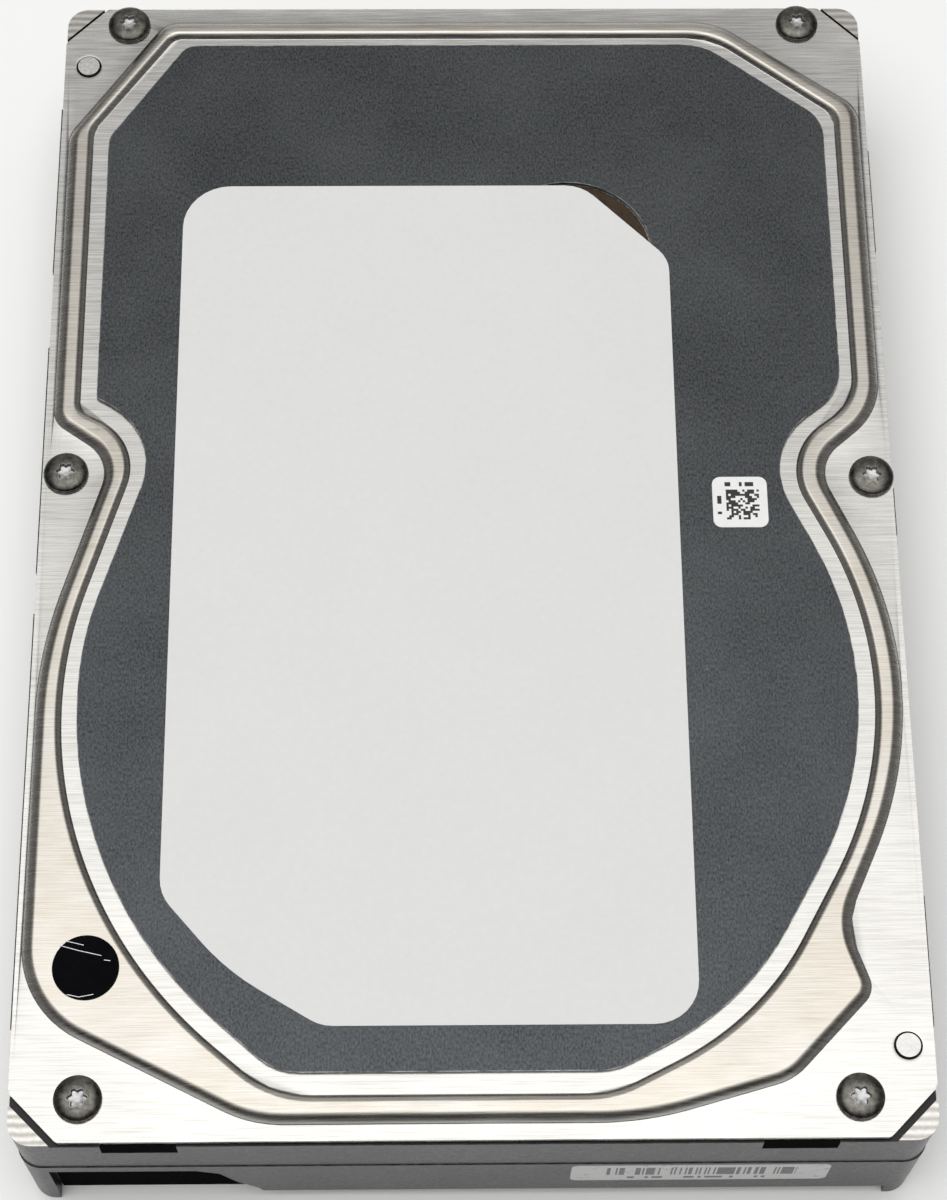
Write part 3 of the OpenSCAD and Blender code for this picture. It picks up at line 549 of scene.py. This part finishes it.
# printed blocks are (corner, cell size, extent) in mm; 100 and 200 mean right through the piece
printed = dict(
    paper=dict(
        dark=(0.80, 0.80, 0.79), light=(0.86, 0.86, 0.85), rough=(0.4, 0.5), bump=0.05, bumpDepth=0.02,
    ),
    film=dict(
        dark=(0.42, 0.43, 0.425), light=(0.5, 0.51, 0.505), rough=(0.25, 0.35), bump=0.05, bumpDepth=0.02,
    ),
    ink=(0.02, 0.02, 0.022, 1),
    modules=[
        ((30.5, 0.4, 0), (0.28, 0.28, 100), (3.92, 3.92, 100)),
        ((30.4, 4.75, 0), (0.34, 100, 100), (3.4, 0.55, 100)),
        ((29.45, 1.1, 0), (100, 0.34, 100), (0.5, 2.4, 100)),
    ],
    bars=[
        ((15, -100, 9.6), (0.2, 100, 100), (21.3, 200, 3.4)),
        ((17.4, -100, 7.9), (0.4, 100, 100), (16, 200, 0.9)),
    ],
)


def makePrinted(name, stock, blocks, ink):
    # label stock with printed cells over its grain
    material = makeFinish(name, **stock)
    tree = material.node_tree
    shader = tree.nodes["Principled BSDF"]
    colour = shader.inputs["Base Color"].links[0].from_socket
    for origin, cell, extent in blocks:
        cells = placeGroup(tree, cellsGroup, {"Origin": origin, "Cell": cell, "Extent": extent})
        colour = blendColour(tree, cells.outputs["Mask"], colour, ink)
    tree.links.new(colour, shader.inputs["Base Color"])
    return material


finished["label_small"] = makePrinted("label_small", printed["paper"], printed["modules"], printed["ink"])
finished["label_end"] = makePrinted("label_end", printed["film"], printed["bars"], printed["ink"])

machined = dict(
    fromHeight=24.97,  # mm: the four corner pads are cut bare above this height
    dark=(0.42, 0.405, 0.38),
    light=(0.72, 0.7, 0.67),
    swirlScale=0.35,
    swirlWobble=1.5,
)


def addMachinedPads(material, look):
    # bare milled metal on the pads, coating everywhere else
    tree = material.node_tree
    shader = tree.nodes["Principled BSDF"]
    height = tree.nodes.new("ShaderNodeSeparateXYZ")
    tree.links.new(spaceIn(tree, (1, 1, 1)), height.inputs[0])
    bare = calc(tree, "GREATER_THAN", height.outputs["Z"], look["fromHeight"])
    swirl = tree.nodes.new("ShaderNodeTexWave")
    swirl.wave_type = "RINGS"
    swirl.inputs["Scale"].default_value = look["swirlScale"]
    swirl.inputs["Distortion"].default_value = look["swirlWobble"]
    tree.links.new(spaceIn(tree, (1, 1, 1)), swirl.inputs["Vector"])
    metal = blendColour(tree, swirl.outputs["Fac"], rgba(look["dark"]), rgba(look["light"]))
    colour = shader.inputs["Base Color"].links[0].from_socket
    tree.links.new(blendColour(tree, bare, colour, metal), shader.inputs["Base Color"])
    tree.links.new(bare, shader.inputs["Metallic"])


addMachinedPads(finished["cast_black"], machined)

warmLand = dict(
    fromHeight=25.5,  # mm: the tint of the raised bead sets in here
    toHeight=25.9,
    tint=(0.92, 0.875, 0.81),
)


def addWarmLand(material, look):
    # the raised bead reads slightly warmer than the flange and the panel
    tree = material.node_tree
    shader = tree.nodes["Principled BSDF"]
    height = tree.nodes.new("ShaderNodeSeparateXYZ")
    tree.links.new(spaceIn(tree, (1, 1, 1)), height.inputs[0])
    raised = spread(tree, height.outputs["Z"], look["fromHeight"], look["toHeight"], 0.0, 1.0, True)
    patchy = spread(tree, noise(tree, spaceIn(tree, (0.5, 1, 1)), 0.25, 3.0), 0.3, 0.6, 0.35, 1.0)
    colour = shader.inputs["Base Color"].links[0].from_socket
    warm = blendColour(tree, calc(tree, "MULTIPLY", raised, patchy), colour, rgba(look["tint"]), "MULTIPLY")
    tree.links.new(warm, shader.inputs["Base Color"])


addWarmLand(finished["cover_steel"], warmLand)
print("finishes made:", len(finished))


def setFinish(obj, material):
    obj.data.materials.clear()
    obj.data.materials.append(material)


def dressNodes():
    for part in frame["record"]["subparts"]:
        setFinish(nodes[part["node"]], finished[part["material_slot"]])


dressNodes()


# each corner is [x, y, corner radius] in mm, clockwise from the top left
outlines = dict(
    foot=[
        [-37.8, 71, 3], [31.9, 71, 9], [49.4, 58.2, 4], [49.4, 15.1, 9], [41.2, 8, 5], [54.2, -20.9, 48],
        [41.4, -49.1, 8], [44.1, -56.8, 2.4], [34.8, -66.5, 7], [18.6, -71.1, 38], [-24.1, -71.1, 14],
        [-49.6, -58.2, 11.6], [-49.6, -15.8, 55], [-42.1, 9, 5], [-49.3, 14.1, 3], [-49.3, 54.4, 4],
    ],
    panel=[
        [-36.8, 68.6, 1.5], [31.4, 68.6, 9], [46.5, 57, 2.5], [46.5, 16.3, 7], [37.1, 9.1, 8],
        [52.4, -22.7, 46], [31.7, -59.9, 34], [15.2, -68.2, 12], [-21.9, -68.2, 12], [-46.8, -47.1, 52],
        [-46.8, -15.2, 50], [-38.6, 11.4, 7.4], [-46.45, 15.3, 2], [-46.45, 54.9, 3],
    ],
    sheet=[
        [-50.5, 68.2, 0.8], [-45.4, 73.3, 0.8], [45.4, 73.3, 0.8], [50.5, 68.2, 0.8], [50.5, -67.6, 0.8],
        [45.1, -73.1, 0.8], [-45.1, -73.1, 0.8], [-50.5, -67.6, 0.8],
    ],
)


def unit(v):
    return v / v.length


def ringOf(corners, inset=0.0):
    # rounded outline moved inwards; its number of points doesn't depend on the inset, so rings match
    spots = [Vector(c[:2]) for c in corners]
    count = len(spots)
    ways = [unit(spots[(i + 1) % count] - spots[i]) for i in range(count)]
    points = []
    for i, corner in enumerate(corners):
        before, after = ways[i - 1], ways[i]
        cross = before.x * after.y - before.y * after.x
        turn = math.atan2(cross, before.dot(after))
        shift = inset * Vector((before.y, -before.x))
        slide = inset * (Vector((after.y, -after.x)) - Vector((before.y, -before.x)))
        along = (slide.x * after.y - slide.y * after.x) / cross if abs(cross) > 1e-6 else 0
        at = spots[i] + shift + before * along
        radius = max(0.02, corner[2] + (inset if turn > 0 else -inset))
        reach = radius * math.tan(abs(turn) / 2)
        side = 1 if turn > 0 else -1
        centre = at - before * reach + radius * side * Vector((-before.y, before.x))
        arm = at - before * reach - centre
        steps = max(2, math.ceil(math.degrees(abs(turn)) / (1.5 if corner[2] > 20 else 6)))
        for k in range(steps + 1):
            points.append(centre + Matrix.Rotation(turn * k / steps, 2) @ arm)
    return points


def circleRing(centre, radius, count=48):
    return [Vector(centre) + radius * Vector((math.cos(a), math.sin(a)))
            for a in (2 * math.pi * k / count for k in range(count))]


def addRing(bm, points, height):
    return [bm.verts.new((p.x * mm, p.y * mm, height * mm)) for p in points]


def faceUp(bm, corners, upwards=True):
    # face turned to look up, or down; one that can't be made is left out
    try:
        face = bm.faces.new(corners)
    except ValueError:
        return
    face.normal_update()
    if (face.normal.z < 0) == upwards and abs(face.normal.z) > 1e-4:
        face.normal_flip()


def bridge(bm, ringA, ringB):
    # quads between two rings with the same number of points
    for i in range(len(ringA)):
        faceUp(bm, (ringA[i - 1], ringA[i], ringB[i], ringB[i - 1]))


def inside(point, ring):
    hit = False
    for a, b in zip(ring, ring[1:] + ring[:1]):
        if (a.y > point.y) != (b.y > point.y):
            if point.x < (b.x - a.x) * (point.y - a.y) / (b.y - a.y) + a.x:
                hit = not hit
    return hit


def fillBetween(bm, outer, holes):
    # flat face between an outer ring of vertices and the rings of its holes
    loops = [outer] + holes
    verts = [v for loop in loops for v in loop]
    flat = [v.co.to_2d() / mm for v in verts]
    edges, start = [], 0
    for loop in loops:
        edges += [(start + i, start + (i + 1) % len(loop)) for i in range(len(loop))]
        start += len(loop)
    found, _, faces, origins, _, _ = delaunay_2d_cdt(flat, edges, [], 0, 1e-7)
    rims = [[v.co.to_2d() / mm for v in loop] for loop in loops]
    for face in faces:
        middle = sum((found[i] for i in face), Vector((0, 0))) / len(face)
        if inside(middle, rims[0]) and not any(inside(middle, rim) for rim in rims[1:]):
            faceUp(bm, [verts[origins[i][0]] for i in face])


def ribbon(bm, points, width, height, upwards=False):
    # flat strip along a path, turned outwards at the corners
    left, right = [], []
    spots = [Vector(p) for p in points]
    for i, spot in enumerate(spots):
        before = unit(spot - spots[i - 1]) if i else unit(spots[1] - spots[0])
        after = unit(spots[i + 1] - spot) if i < len(spots) - 1 else before
        across = unit(Vector((-(before + after).y, (before + after).x)))
        reach = width / 2 / max(0.4, across.dot(Vector((-before.y, before.x))))
        left.append(bm.verts.new((*((spot + across * reach) * mm), height * mm)))
        right.append(bm.verts.new((*((spot - across * reach) * mm), height * mm)))
    for i in range(len(spots) - 1):
        faceUp(bm, (left[i], right[i], right[i + 1], left[i + 1]), upwards)


def finishPiece(name, bm, material, body, replaced=(), smooth=True):
    # level faces stay flat, so no shading leaks onto them from the slopes and holes
    mesh = bpy.data.meshes.new(name)
    bm.to_mesh(mesh)
    bm.free()
    for polygon in mesh.polygons:
        polygon.use_smooth = smooth and abs(polygon.normal.z) < 0.9999
    piece = bpy.data.objects.new(name, mesh)
    bpy.context.scene.collection.objects.link(piece)
    mesh.materials.append(material)
    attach(piece, body)
    if replaced:
        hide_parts(*replaced)
    return piece


def addModifier(obj, kind, **settings):
    modifier = obj.modifiers.new(kind.lower(), kind)
    for key, value in settings.items():
        setattr(modifier, key, value)
    return modifier


cover = dict(
    flangeTop=25.2,
    beadTop=26.0,
    panelTop=25.4,
    thickness=0.8,
    riseStart=-0.3,  # the slopes' insets from the outlines
    riseEnd=1.15,
    dropStart=-0.85,
    dropEnd=0.1,
    crown=1.8,  # the bead is steep at its feet and level on top
    guard=0.35,
    slopeSteps=10,
    edgeRound=0.3,
    roundedFrom=60,  # degrees: edges sharper than this are rounded
    dimpleDrop=0.9,
    dimpleSlope=0.8,
    screwHole=1.75,
    pinHole=1.6,
    shaftHole=1.6,
    screws=[(-42.6, 70.8), (42.6, 70.8), (-47.7, 7.1), (48.0, 6.3), (-42.9, -68.4), (42.0, -68.7)],
    pins=[(-47.5, 64.6), (47.6, -63)],
    dimples=[((12.6, 36.5), 8.5), ((0, -22.5), 7)],
)


def sCurve(t):
    # a soft press: level at both ends, steepest half way
    return t - 0.8 * math.sin(2 * math.pi * t) / (2 * math.pi)


def rounded(power):
    # steep at the start, level at the end
    return lambda t: 1 - (1 - t) ** power


def falling(power):
    # level at the start, steep at the end
    return lambda t: t ** power


def slope(bm, corners, fromInset, toInset, fromHeight, toHeight, steps, shape):
    # rings down or up a pressed slope; gives back the first and the last ring
    last = addRing(bm, ringOf(corners, fromInset), fromHeight)
    first = last
    for k in range(1, steps + 1):
        t = k / steps
        ring = addRing(bm, ringOf(corners, fromInset + (toInset - fromInset) * t),
                       fromHeight + (toHeight - fromHeight) * shape(t))
        bridge(bm, last, ring)
        last = ring
    return first, last


def guardedHole(bm, spot, radius, height, guard):
    # hole with an even collar round it; gives back the collar's outer ring
    hole = addRing(bm, circleRing(spot, radius), height)
    collar = addRing(bm, circleRing(spot, radius + guard), height)
    bridge(bm, collar, hole)
    return collar


def makeCover(look):
    bm = bmesh.new()
    foot, bead = slope(bm, outlines["foot"], look["riseStart"], look["riseEnd"], look["flangeTop"],
                       look["beadTop"], look["slopeSteps"], rounded(look["crown"]))
    lip, well = slope(bm, outlines["panel"], look["dropStart"], look["dropEnd"], look["beadTop"],
                      look["panelTop"], look["slopeSteps"], falling(look["crown"]))
    # flange with its screw and pin holes
    edge = addRing(bm, ringOf(outlines["sheet"]), look["flangeTop"])
    border = addRing(bm, ringOf(outlines["sheet"], look["guard"]), look["flangeTop"])
    bridge(bm, edge, border)
    seats = [(spot, look["screwHole"]) for spot in look["screws"]]
    seats += [(spot, look["pinHole"]) for spot in look["pins"]]
    holes = [guardedHole(bm, spot, radius, look["flangeTop"], look["guard"]) for spot, radius in seats]
    fillBetween(bm, border, [foot] + holes)
    fillBetween(bm, bead, [lip])
    # middle panel and its two round dimples
    rims = []
    for spot, radius in look["dimples"]:
        last = addRing(bm, circleRing(spot, radius + look["dimpleSlope"] / 2), look["panelTop"])
        rims.append(last)
        for k in range(1, look["slopeSteps"] + 1):
            t = k / look["slopeSteps"]
            ring = addRing(bm, circleRing(spot, radius + look["dimpleSlope"] * (0.5 - t)),
                           look["panelTop"] - look["dimpleDrop"] * sCurve(t))
            bridge(bm, last, ring)
            last = ring
        floor = look["panelTop"] - look["dimpleDrop"]
        fillBetween(bm, last, [guardedHole(bm, spot, look["shaftHole"], floor, look["guard"])])
    fillBetween(bm, well, rims)
    steel = finished["cover_steel"]
    piece = finishPiece("pressedCover", bm, steel, "housing", ["top_cover"])
    addModifier(piece, "SOLIDIFY", thickness=look["thickness"] * mm, offset=-1)
    addModifier(piece, "BEVEL", width=look["edgeRound"] * mm, segments=3, limit_method="ANGLE",
                angle_limit=math.radians(look["roundedFrom"]))
    addModifier(piece, "WEIGHTED_NORMAL", keep_sharp=False, weight=100)


makeCover(cover)
print("cover pressed")


# CAD pieces that keep their shape and get softened edges: width in mm, angle in degrees
softEdges = dict(
    base_casting=dict(width=0.3, segments=3, angle=38),
    motor_flange=dict(width=0.2, segments=2, angle=45),
    interface_connector=dict(width=0.15, segments=2, angle=50),
    circuit_board=dict(width=0.1, segments=2, angle=50),
    damping_plate=dict(width=0.12, segments=2, angle=50),
)


def softenEdges(name, look):
    obj = nodes[name]
    addModifier(obj, "BEVEL", width=look["width"] * mm, segments=look["segments"], limit_method="ANGLE",
                angle_limit=math.radians(look["angle"]), use_clamp_overlap=True)
    addModifier(obj, "WEIGHTED_NORMAL", keep_sharp=False, weight=100)


for name, look in softEdges.items():
    softenEdges(name, look)


screw = dict(
    headRadius=2.65,  # mm
    headHeight=0.88,
    # turned profile from the seat upwards, as shares of the head's radius and height
    profile=[(0.97, 0), (1, 0.1), (1, 0.34), (0.985, 0.46), (0.94, 0.6), (0.86, 0.74), (0.74, 0.86),
             (0.6, 0.95), (0.48, 0.985)],
    lobes=6,
    lobeShare=0.347,  # recess radius as a share of the head's
    lobeDepth=0.6,
    lobeSwing=0.22,
    lobeBlunting=0.25,
    rimWidth=0.07,
    rimDrop=0.07,
    wallTaper=0.93,
    cup=[(0.6, 0.04), (0.3, 0.1)],  # rings of the recess floor: share of its radius, extra depth
    spareDepth=0.18,  # the head's socket goes this much deeper than the recess
    skin=0.05,
    headSplit=50,  # degrees: sharper edges are shaded as edges
    recessSplit=40,
    points=72,
    facing=1,  # -1 for a screw driven from below
)


def starRing(centre, radius, look):
    # round outline with rounded lobes
    ring = []
    for k in range(look["points"]):
        a = 2 * math.pi * k / look["points"]
        wave = math.cos(look["lobes"] * a)
        reach = radius * (1 + look["lobeSwing"] * wave / (1 + look["lobeBlunting"] * abs(wave)))
        ring.append(Vector(centre) + reach * Vector((math.cos(a), math.sin(a))))
    return ring


def stitch(bm, rings, facing, closed):
    # skin over a stack of rings: the last one is capped, the first one too where the piece is closed
    for a, b in zip(rings, rings[1:]):
        for i in range(len(a)):
            bm.faces.new((a[i - 1], a[i], b[i], b[i - 1])[::facing])
    bm.faces.new(rings[-1][::facing])
    if closed:
        bm.faces.new(rings[0][::-facing])


def stackRings(bm, look, base, rings):
    # each entry is (outline, height over the seat)
    return [addRing(bm, outline, base + look["facing"] * height) for outline, height in rings]


def addScrewHead(bm, look, spot, base):
    # turned head: side, rounded shoulder, slightly crowned top, then the socket for the recess
    radius, height = look["headRadius"], look["headHeight"]
    rings = [(circleRing(spot, radius * across, look["points"]), height * up)
             for across, up in look["profile"]]
    mouth = starRing(spot, radius * look["lobeShare"] + look["rimWidth"], look)
    rings += [(mouth, height), (mouth, height - look["lobeDepth"] - look["spareDepth"])]
    stitch(bm, stackRings(bm, look, base, rings), look["facing"], True)


def addRecess(bm, look, spot, base):
    # lobed recess: its rim, walls and cupped floor, given a lighter steel than the head as a painted
    # highlight
    height = look["headHeight"]
    floor = height - look["lobeDepth"]
    lobe = look["headRadius"] * look["lobeShare"]
    walls = [(lobe + look["rimWidth"], height), (lobe, height - look["rimDrop"]),
             (lobe * look["wallTaper"], floor)]
    rings = [(starRing(spot, radius, look), up) for radius, up in walls]
    rings += [(circleRing(spot, lobe * share, look["points"]), floor - extra)
              for share, extra in look["cup"]]
    stitch(bm, stackRings(bm, look, base, rings), look["facing"], False)


def makeScrewHeads(name, look, seats, node):
    heads, litRecesses = bmesh.new(), bmesh.new()
    for spot, base in seats:
        addScrewHead(heads, look, spot, base)
        addRecess(litRecesses, look, spot, base)
    piece = finishPiece(name, heads, finished["screw_steel"], "housing", [node])
    addModifier(piece, "EDGE_SPLIT", split_angle=math.radians(look["headSplit"]))
    # the recess takes the lighter bracket steel: a painted highlight in the star
    piece = finishPiece(name + "HighlitRecesses", litRecesses, finished["bracket_steel"], "housing")
    addModifier(piece, "SOLIDIFY", thickness=look["skin"] * mm, offset=-1)
    addModifier(piece, "EDGE_SPLIT", split_angle=math.radians(look["recessSplit"]))


shaftScrew = dict(screw, headRadius=3.0)
coverSeats = [(spot, cover["flangeTop"]) for spot in cover["screws"]]
shaftSeats = [(spot, cover["panelTop"] - cover["dimpleDrop"]) for spot, _ in cover["dimples"]]
makeScrewHeads("coverScrewHeads", screw, coverSeats, "cover_screws")
makeScrewHeads("shaftScrewHeads", shaftScrew, shaftSeats, "shaft_screws")
print("screws turned")


film = dict(
    spot=(12.6, 36.5),
    radius=10.25,
    height=25.42,
    sag=0.05,  # lower in the middle by this much
    rings=5,
    points=72,
    thickness=0.05,
)


def makePivotFilm(look):
    # brown film over the pivot screw, seen beside the label's cut corner
    bm = bmesh.new()
    rings = []
    for k in range(look["rings"] + 1):
        reach = 1 - k / (look["rings"] + 1)
        outline = circleRing(look["spot"], look["radius"] * reach, look["points"])
        rings.append(addRing(bm, outline, look["height"] + look["sag"] * (reach ** 2 - 1)))
    for a, b in zip(rings, rings[1:]):
        bridge(bm, a, b)
    faceUp(bm, rings[-1])
    piece = finishPiece("pivotFilm", bm, finished["brown_film"], "housing")
    addModifier(piece, "SOLIDIFY", thickness=look["thickness"] * mm, offset=1)


makePivotFilm(film)

# near-black sheets in the gasket finish that paint the shade in the recess and the pry slots
shadeSheets = dict(
    recessShadeSheet=dict(  # painted shade: a thin near-black sheet at the back wall of the shallow recess beside the left foot; mm, from face to back
        face=-72.13,
        back=-72.08,
        outlines=[[(-47.2, 0.1), (-47.2, 12.9), (-31.05, 12.9), (-28.5, 11.5), (-26.7, 7.35),
                   (-24.5, 4.35), (-23.1, 0.1)]],
    ),
    slotShadeSheets=dict(  # painted shade: near-black blocks filling the two pry slots under the cover's front edge
        face=-73.35,
        back=-72.25,
        outlines=[[(x, 21.45), (x, 24.0), (x + 8.2, 24.0), (x + 8.2, 21.45)] for x in (-40.45, 31.45)],
    ),
)


# builds a near-black sheet where there is only shade: painted shade
def makeShadeSheet(name, look):
    bm = bmesh.new()
    for outline in look["outlines"]:
        front = [bm.verts.new((x * mm, look["face"] * mm, z * mm)) for x, z in outline]
        rear = [bm.verts.new((x * mm, look["back"] * mm, z * mm)) for x, z in outline]
        bm.faces.new(front)
        bm.faces.new(rear[::-1])
        for i in range(len(front)):
            bm.faces.new((front[i - 1], rear[i - 1], rear[i], front[i]))
    bmesh.ops.recalc_face_normals(bm, faces=bm.faces)
    finishPiece(name, bm, finished["gasket"], "housing", smooth=False)


for name, look in shadeSheets.items():
    makeShadeSheet(name, look)

hairlines = dict(
    height=26.12,  # mm: light scratches on the round seal
    width=0.07,
    thickness=0.03,
    strokes=[[(-45.6, -51.3), (-43.5, -51.9), (-40.9, -52.5)], [(-44.9, -50.8), (-42.9, -51.3)],
             [(-44.5, -56.9), (-43.2, -57.2), (-41.6, -56.9)], [(-40.6, -53.0), (-39.9, -53.1)]],
)


def makeHairlines(look):
    bm = bmesh.new()
    for stroke in look["strokes"]:
        ribbon(bm, stroke, look["width"], look["height"], True)
    piece = finishPiece("sealScratches", bm, finished["seal_foil"], "housing")
    addModifier(piece, "SOLIDIFY", thickness=look["thickness"] * mm, offset=-1)


makeHairlines(hairlines)
print("small cover pieces made")


board = dict(
    # all in mm, on the board's lower face at this height
    face=1.4,
    trackWidth=0.24,
    trackPitch=0.52,
    trackHeight=0.035,
    wideTrackShare=0.8,  # how much of a bundle's wider pitch goes into its tracks
    padHeight=0.05,
    padSize=0.3,
    padArea=dict(reach=41, near=10.5, far=66, corner=-22),
    padGrid=dict(columns=range(-19, 20), rows=range(5, 34), across=2.1, along=2, shift=0.3),
    padShare=0.2,
    padGap=1.5,
    padSizes=(0.3, 0.3, 0.45, 0.6),
    # contact rows: first pad, step across and along, number across and along, radius
    contacts=[
        [(-3.6, 11.5), (2.4, 0), (4, 1), 0.85],  # under the motor's spring contacts
        [(-26, 56), (2, 2), (9, 2), 0.55],  # for the head connector
    ],
    seed=11,
    screws=[(-39, 66), (40.5, 57), (-39.5, 30), (39.5, 20.5), (-24, 13), (24, 13)],
    screwClear=3.0,
    # bundles: [first point, way it leaves, bend point, end point, tracks, width factor]
    bundles=[
        [(-2.2, 66.5), (-6.5, 56), (-11.5, 51), (-11.5, 42), 9, 1],
        [(5.5, 66.5), (5.5, 60), (1, 55.5), (1, 44), 6, 1],
        [(10.5, 66.5), (10.5, 61), (24.5, 47), (24.5, 38), 5, 2.6],
        [(-27, 55), (-27, 46), (-20, 39), (-12, 39), 8, 1],
        [(-33, 38), (-33, 28), (-28, 23), (-18, 23), 7, 1],
        [(-2, 38), (3, 38), (5, 36), (12, 36), 10, 1],
        [(9, 20), (4.5, 20), (-1.8, 13.6), (-1.8, 10.5), 4, 2.2],
        [(20, 30), (20, 26), (28, 18), (33, 18), 6, 1.4],
        [(30, 62), (34, 58), (37, 55), (37, 34), 4, 1.6],
        [(-10, 27), (-10, 20), (-15, 15), (-20, 15), 5, 1],
    ],
    # printed outlines: left, near, right, far
    outlines=[(-17, 27, 1, 45), (7, 29, 19, 44), (7, 16, 18, 27), (23, 19, 31, 42), (-35, 17, -29.5, 40),
              (-20, 60, -9, 65)],
    outlineWidth=0.16,
    inkHeight=0.02,
    firstPinMark=dict(start=(0.6, 0.9), length=0.8, width=0.5),
)


def clearOfScrews(spot, look):
    return all((Vector(spot) - Vector(s)).length > look["screwClear"] for s in look["screws"])


def makeTracks(look):
    bm = bmesh.new()
    ends = []
    for first, leave, bend, last, count, factor in look["bundles"]:
        pitch = look["trackPitch"] * factor
        width = look["trackWidth"] * (1 + (factor - 1) * look["wideTrackShare"])
        way = unit(Vector(bend) - Vector(leave))
        across = Vector((-way.y, way.x))
        for k in range(count):
            shift = across * pitch * (k - (count - 1) / 2)
            path = [Vector(p) + shift for p in (first, leave, bend, last)]
            ribbon(bm, path, width, look["face"] - look["trackHeight"])
            ends += [path[0], path[-1]]
    piece = finishPiece("boardTracks", bm, finished["board_track"], "housing", smooth=False)
    addModifier(piece, "SOLIDIFY", thickness=look["trackHeight"] * mm, offset=-1)
    return ends


def addDisc(bm, spot, radius, height, depth, count=20):
    # low round pad with a softened edge
    rings = [addRing(bm, circleRing(spot, radius, count), height),
             addRing(bm, circleRing(spot, radius, count), height - depth * 0.6),
             addRing(bm, circleRing(spot, radius * 0.9, count), height - depth)]
    for a, b in zip(rings, rings[1:]):
        for i in range(count):
            bm.faces.new((a[i], a[i - 1], b[i - 1], b[i]))
    bm.faces.new(rings[-1][::-1])
    bm.faces.new(rings[0])


def onPadArea(spot, area):
    # inside the board's edges and clear of its slanted near corners
    if spot.y - abs(spot.x) <= area["corner"]:
        return False
    return area["near"] < spot.y < area["far"] and abs(spot.x) < area["reach"]


def makePads(look, ends):
    chance = random.Random(look["seed"])
    grid = look["padGrid"]
    bm = bmesh.new()
    for spot in ends:
        if clearOfScrews(spot, look):
            addDisc(bm, spot, look["padSize"], look["face"], look["padHeight"], 12)
    taken = list(ends)
    for column in grid["columns"]:
        for row in grid["rows"]:
            shiftX = chance.uniform(-grid["shift"], grid["shift"])
            shiftY = chance.uniform(-grid["shift"], grid["shift"])
            spot = Vector((column * grid["across"] + shiftX, row * grid["along"] + shiftY))
            if not (clearOfScrews(spot, look) and onPadArea(spot, look["padArea"])):
                continue
            if chance.random() < look["padShare"] and all((spot - t).length > look["padGap"] for t in taken):
                addDisc(bm, spot, chance.choice(look["padSizes"]), look["face"], look["padHeight"], 16)
                taken.append(spot)
    for (x, y), (stepX, stepY), (across, along), radius in look["contacts"]:
        for column in range(across):
            for row in range(along):
                spot = (x + stepX * column, y + stepY * row)
                addDisc(bm, spot, radius, look["face"], look["padHeight"])
    finishPiece("boardPads", bm, finished["pad_tin"], "housing", smooth=False)


def makeBoardOutlines(look):
    # printed outlines of the parts on the other side
    bm = bmesh.new()
    height = look["face"] - look["inkHeight"]
    mark = look["firstPinMark"]
    for left, near, right, far in look["outlines"]:
        loop = [(left, near), (right, near), (right, far), (left, far)]
        for a, b in zip(loop, loop[1:] + loop[:1]):
            ribbon(bm, [a, b], look["outlineWidth"], height)
        start = Vector((left, near)) + Vector(mark["start"])
        ribbon(bm, [start, start + Vector((mark["length"], 0))], mark["width"], height)
    piece = finishPiece("boardOutlines", bm, finished["board_ink"], "housing", smooth=False)
    addModifier(piece, "SOLIDIFY", thickness=look["inkHeight"] * mm, offset=-1)


trackEnds = makeTracks(board)
makePads(board, trackEnds)
makeBoardOutlines(board)


motor = dict(
    spot=(0, -22.5),
    face=3.6,  # mm: lower face of the motor's flange
    screwRing=15.3,
    screwTurns=(30, 150, 270),
)


def aroundMotor(look):
    return [Vector(look["spot"]) + look["screwRing"] * Vector((math.cos(turn), math.sin(turn)))
            for turn in map(math.radians, look["screwTurns"])]


boardScrew = dict(screw, headRadius=2.0, headHeight=0.68, lobeDepth=0.45, facing=-1)
undersideSeats = [(spot, board["face"]) for spot in board["screws"]]
undersideSeats += [(spot, motor["face"]) for spot in aroundMotor(motor)]
makeScrewHeads("undersideScrewHeads", boardScrew, undersideSeats, "underside_screws")
print("board dressed")


# the ribbon between the bracket and the arm block: a curve in plan, swept up from low to high; mm
flex = dict(
    curve=[(-4.6, 52.4), (-15, 50), (-11, 36.37), (-2.9, 40.3)],
    low=11.4,
    high=19.6,
    steps=40,
    rows=8,
    thickness=0.16,
)


def makeFlex(look):
    p = [Vector(c) for c in look["curve"]]
    tall = look["high"] - look["low"]
    heights = [look["low"] + tall * row / look["rows"] for row in range(look["rows"] + 1)]
    bm = bmesh.new()
    columns = []
    for k in range(look["steps"] + 1):
        t = k / look["steps"]
        at = (1 - t) ** 3 * p[0] + 3 * (1 - t) ** 2 * t * p[1] + 3 * (1 - t) * t * t * p[2] + t ** 3 * p[3]
        columns.append([bm.verts.new((at.x * mm, at.y * mm, z * mm)) for z in heights])
    for a, b in zip(columns, columns[1:]):
        for row in range(look["rows"]):
            bm.faces.new((a[row], b[row], b[row + 1], a[row + 1]))
    mesh = bpy.data.meshes.new("flexRibbon")
    bm.to_mesh(mesh)
    bm.free()
    piece = bpy.data.objects.new("flexRibbon", mesh)
    bpy.context.scene.collection.objects.link(piece)
    for polygon in mesh.polygons:
        polygon.use_smooth = True
    mesh.materials.append(finished["polyimide"])
    addModifier(piece, "SOLIDIFY", thickness=look["thickness"] * mm, offset=0)
    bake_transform(piece)
    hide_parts("flex_loop")


makeFlex(flex)
print("flex ribbon made")
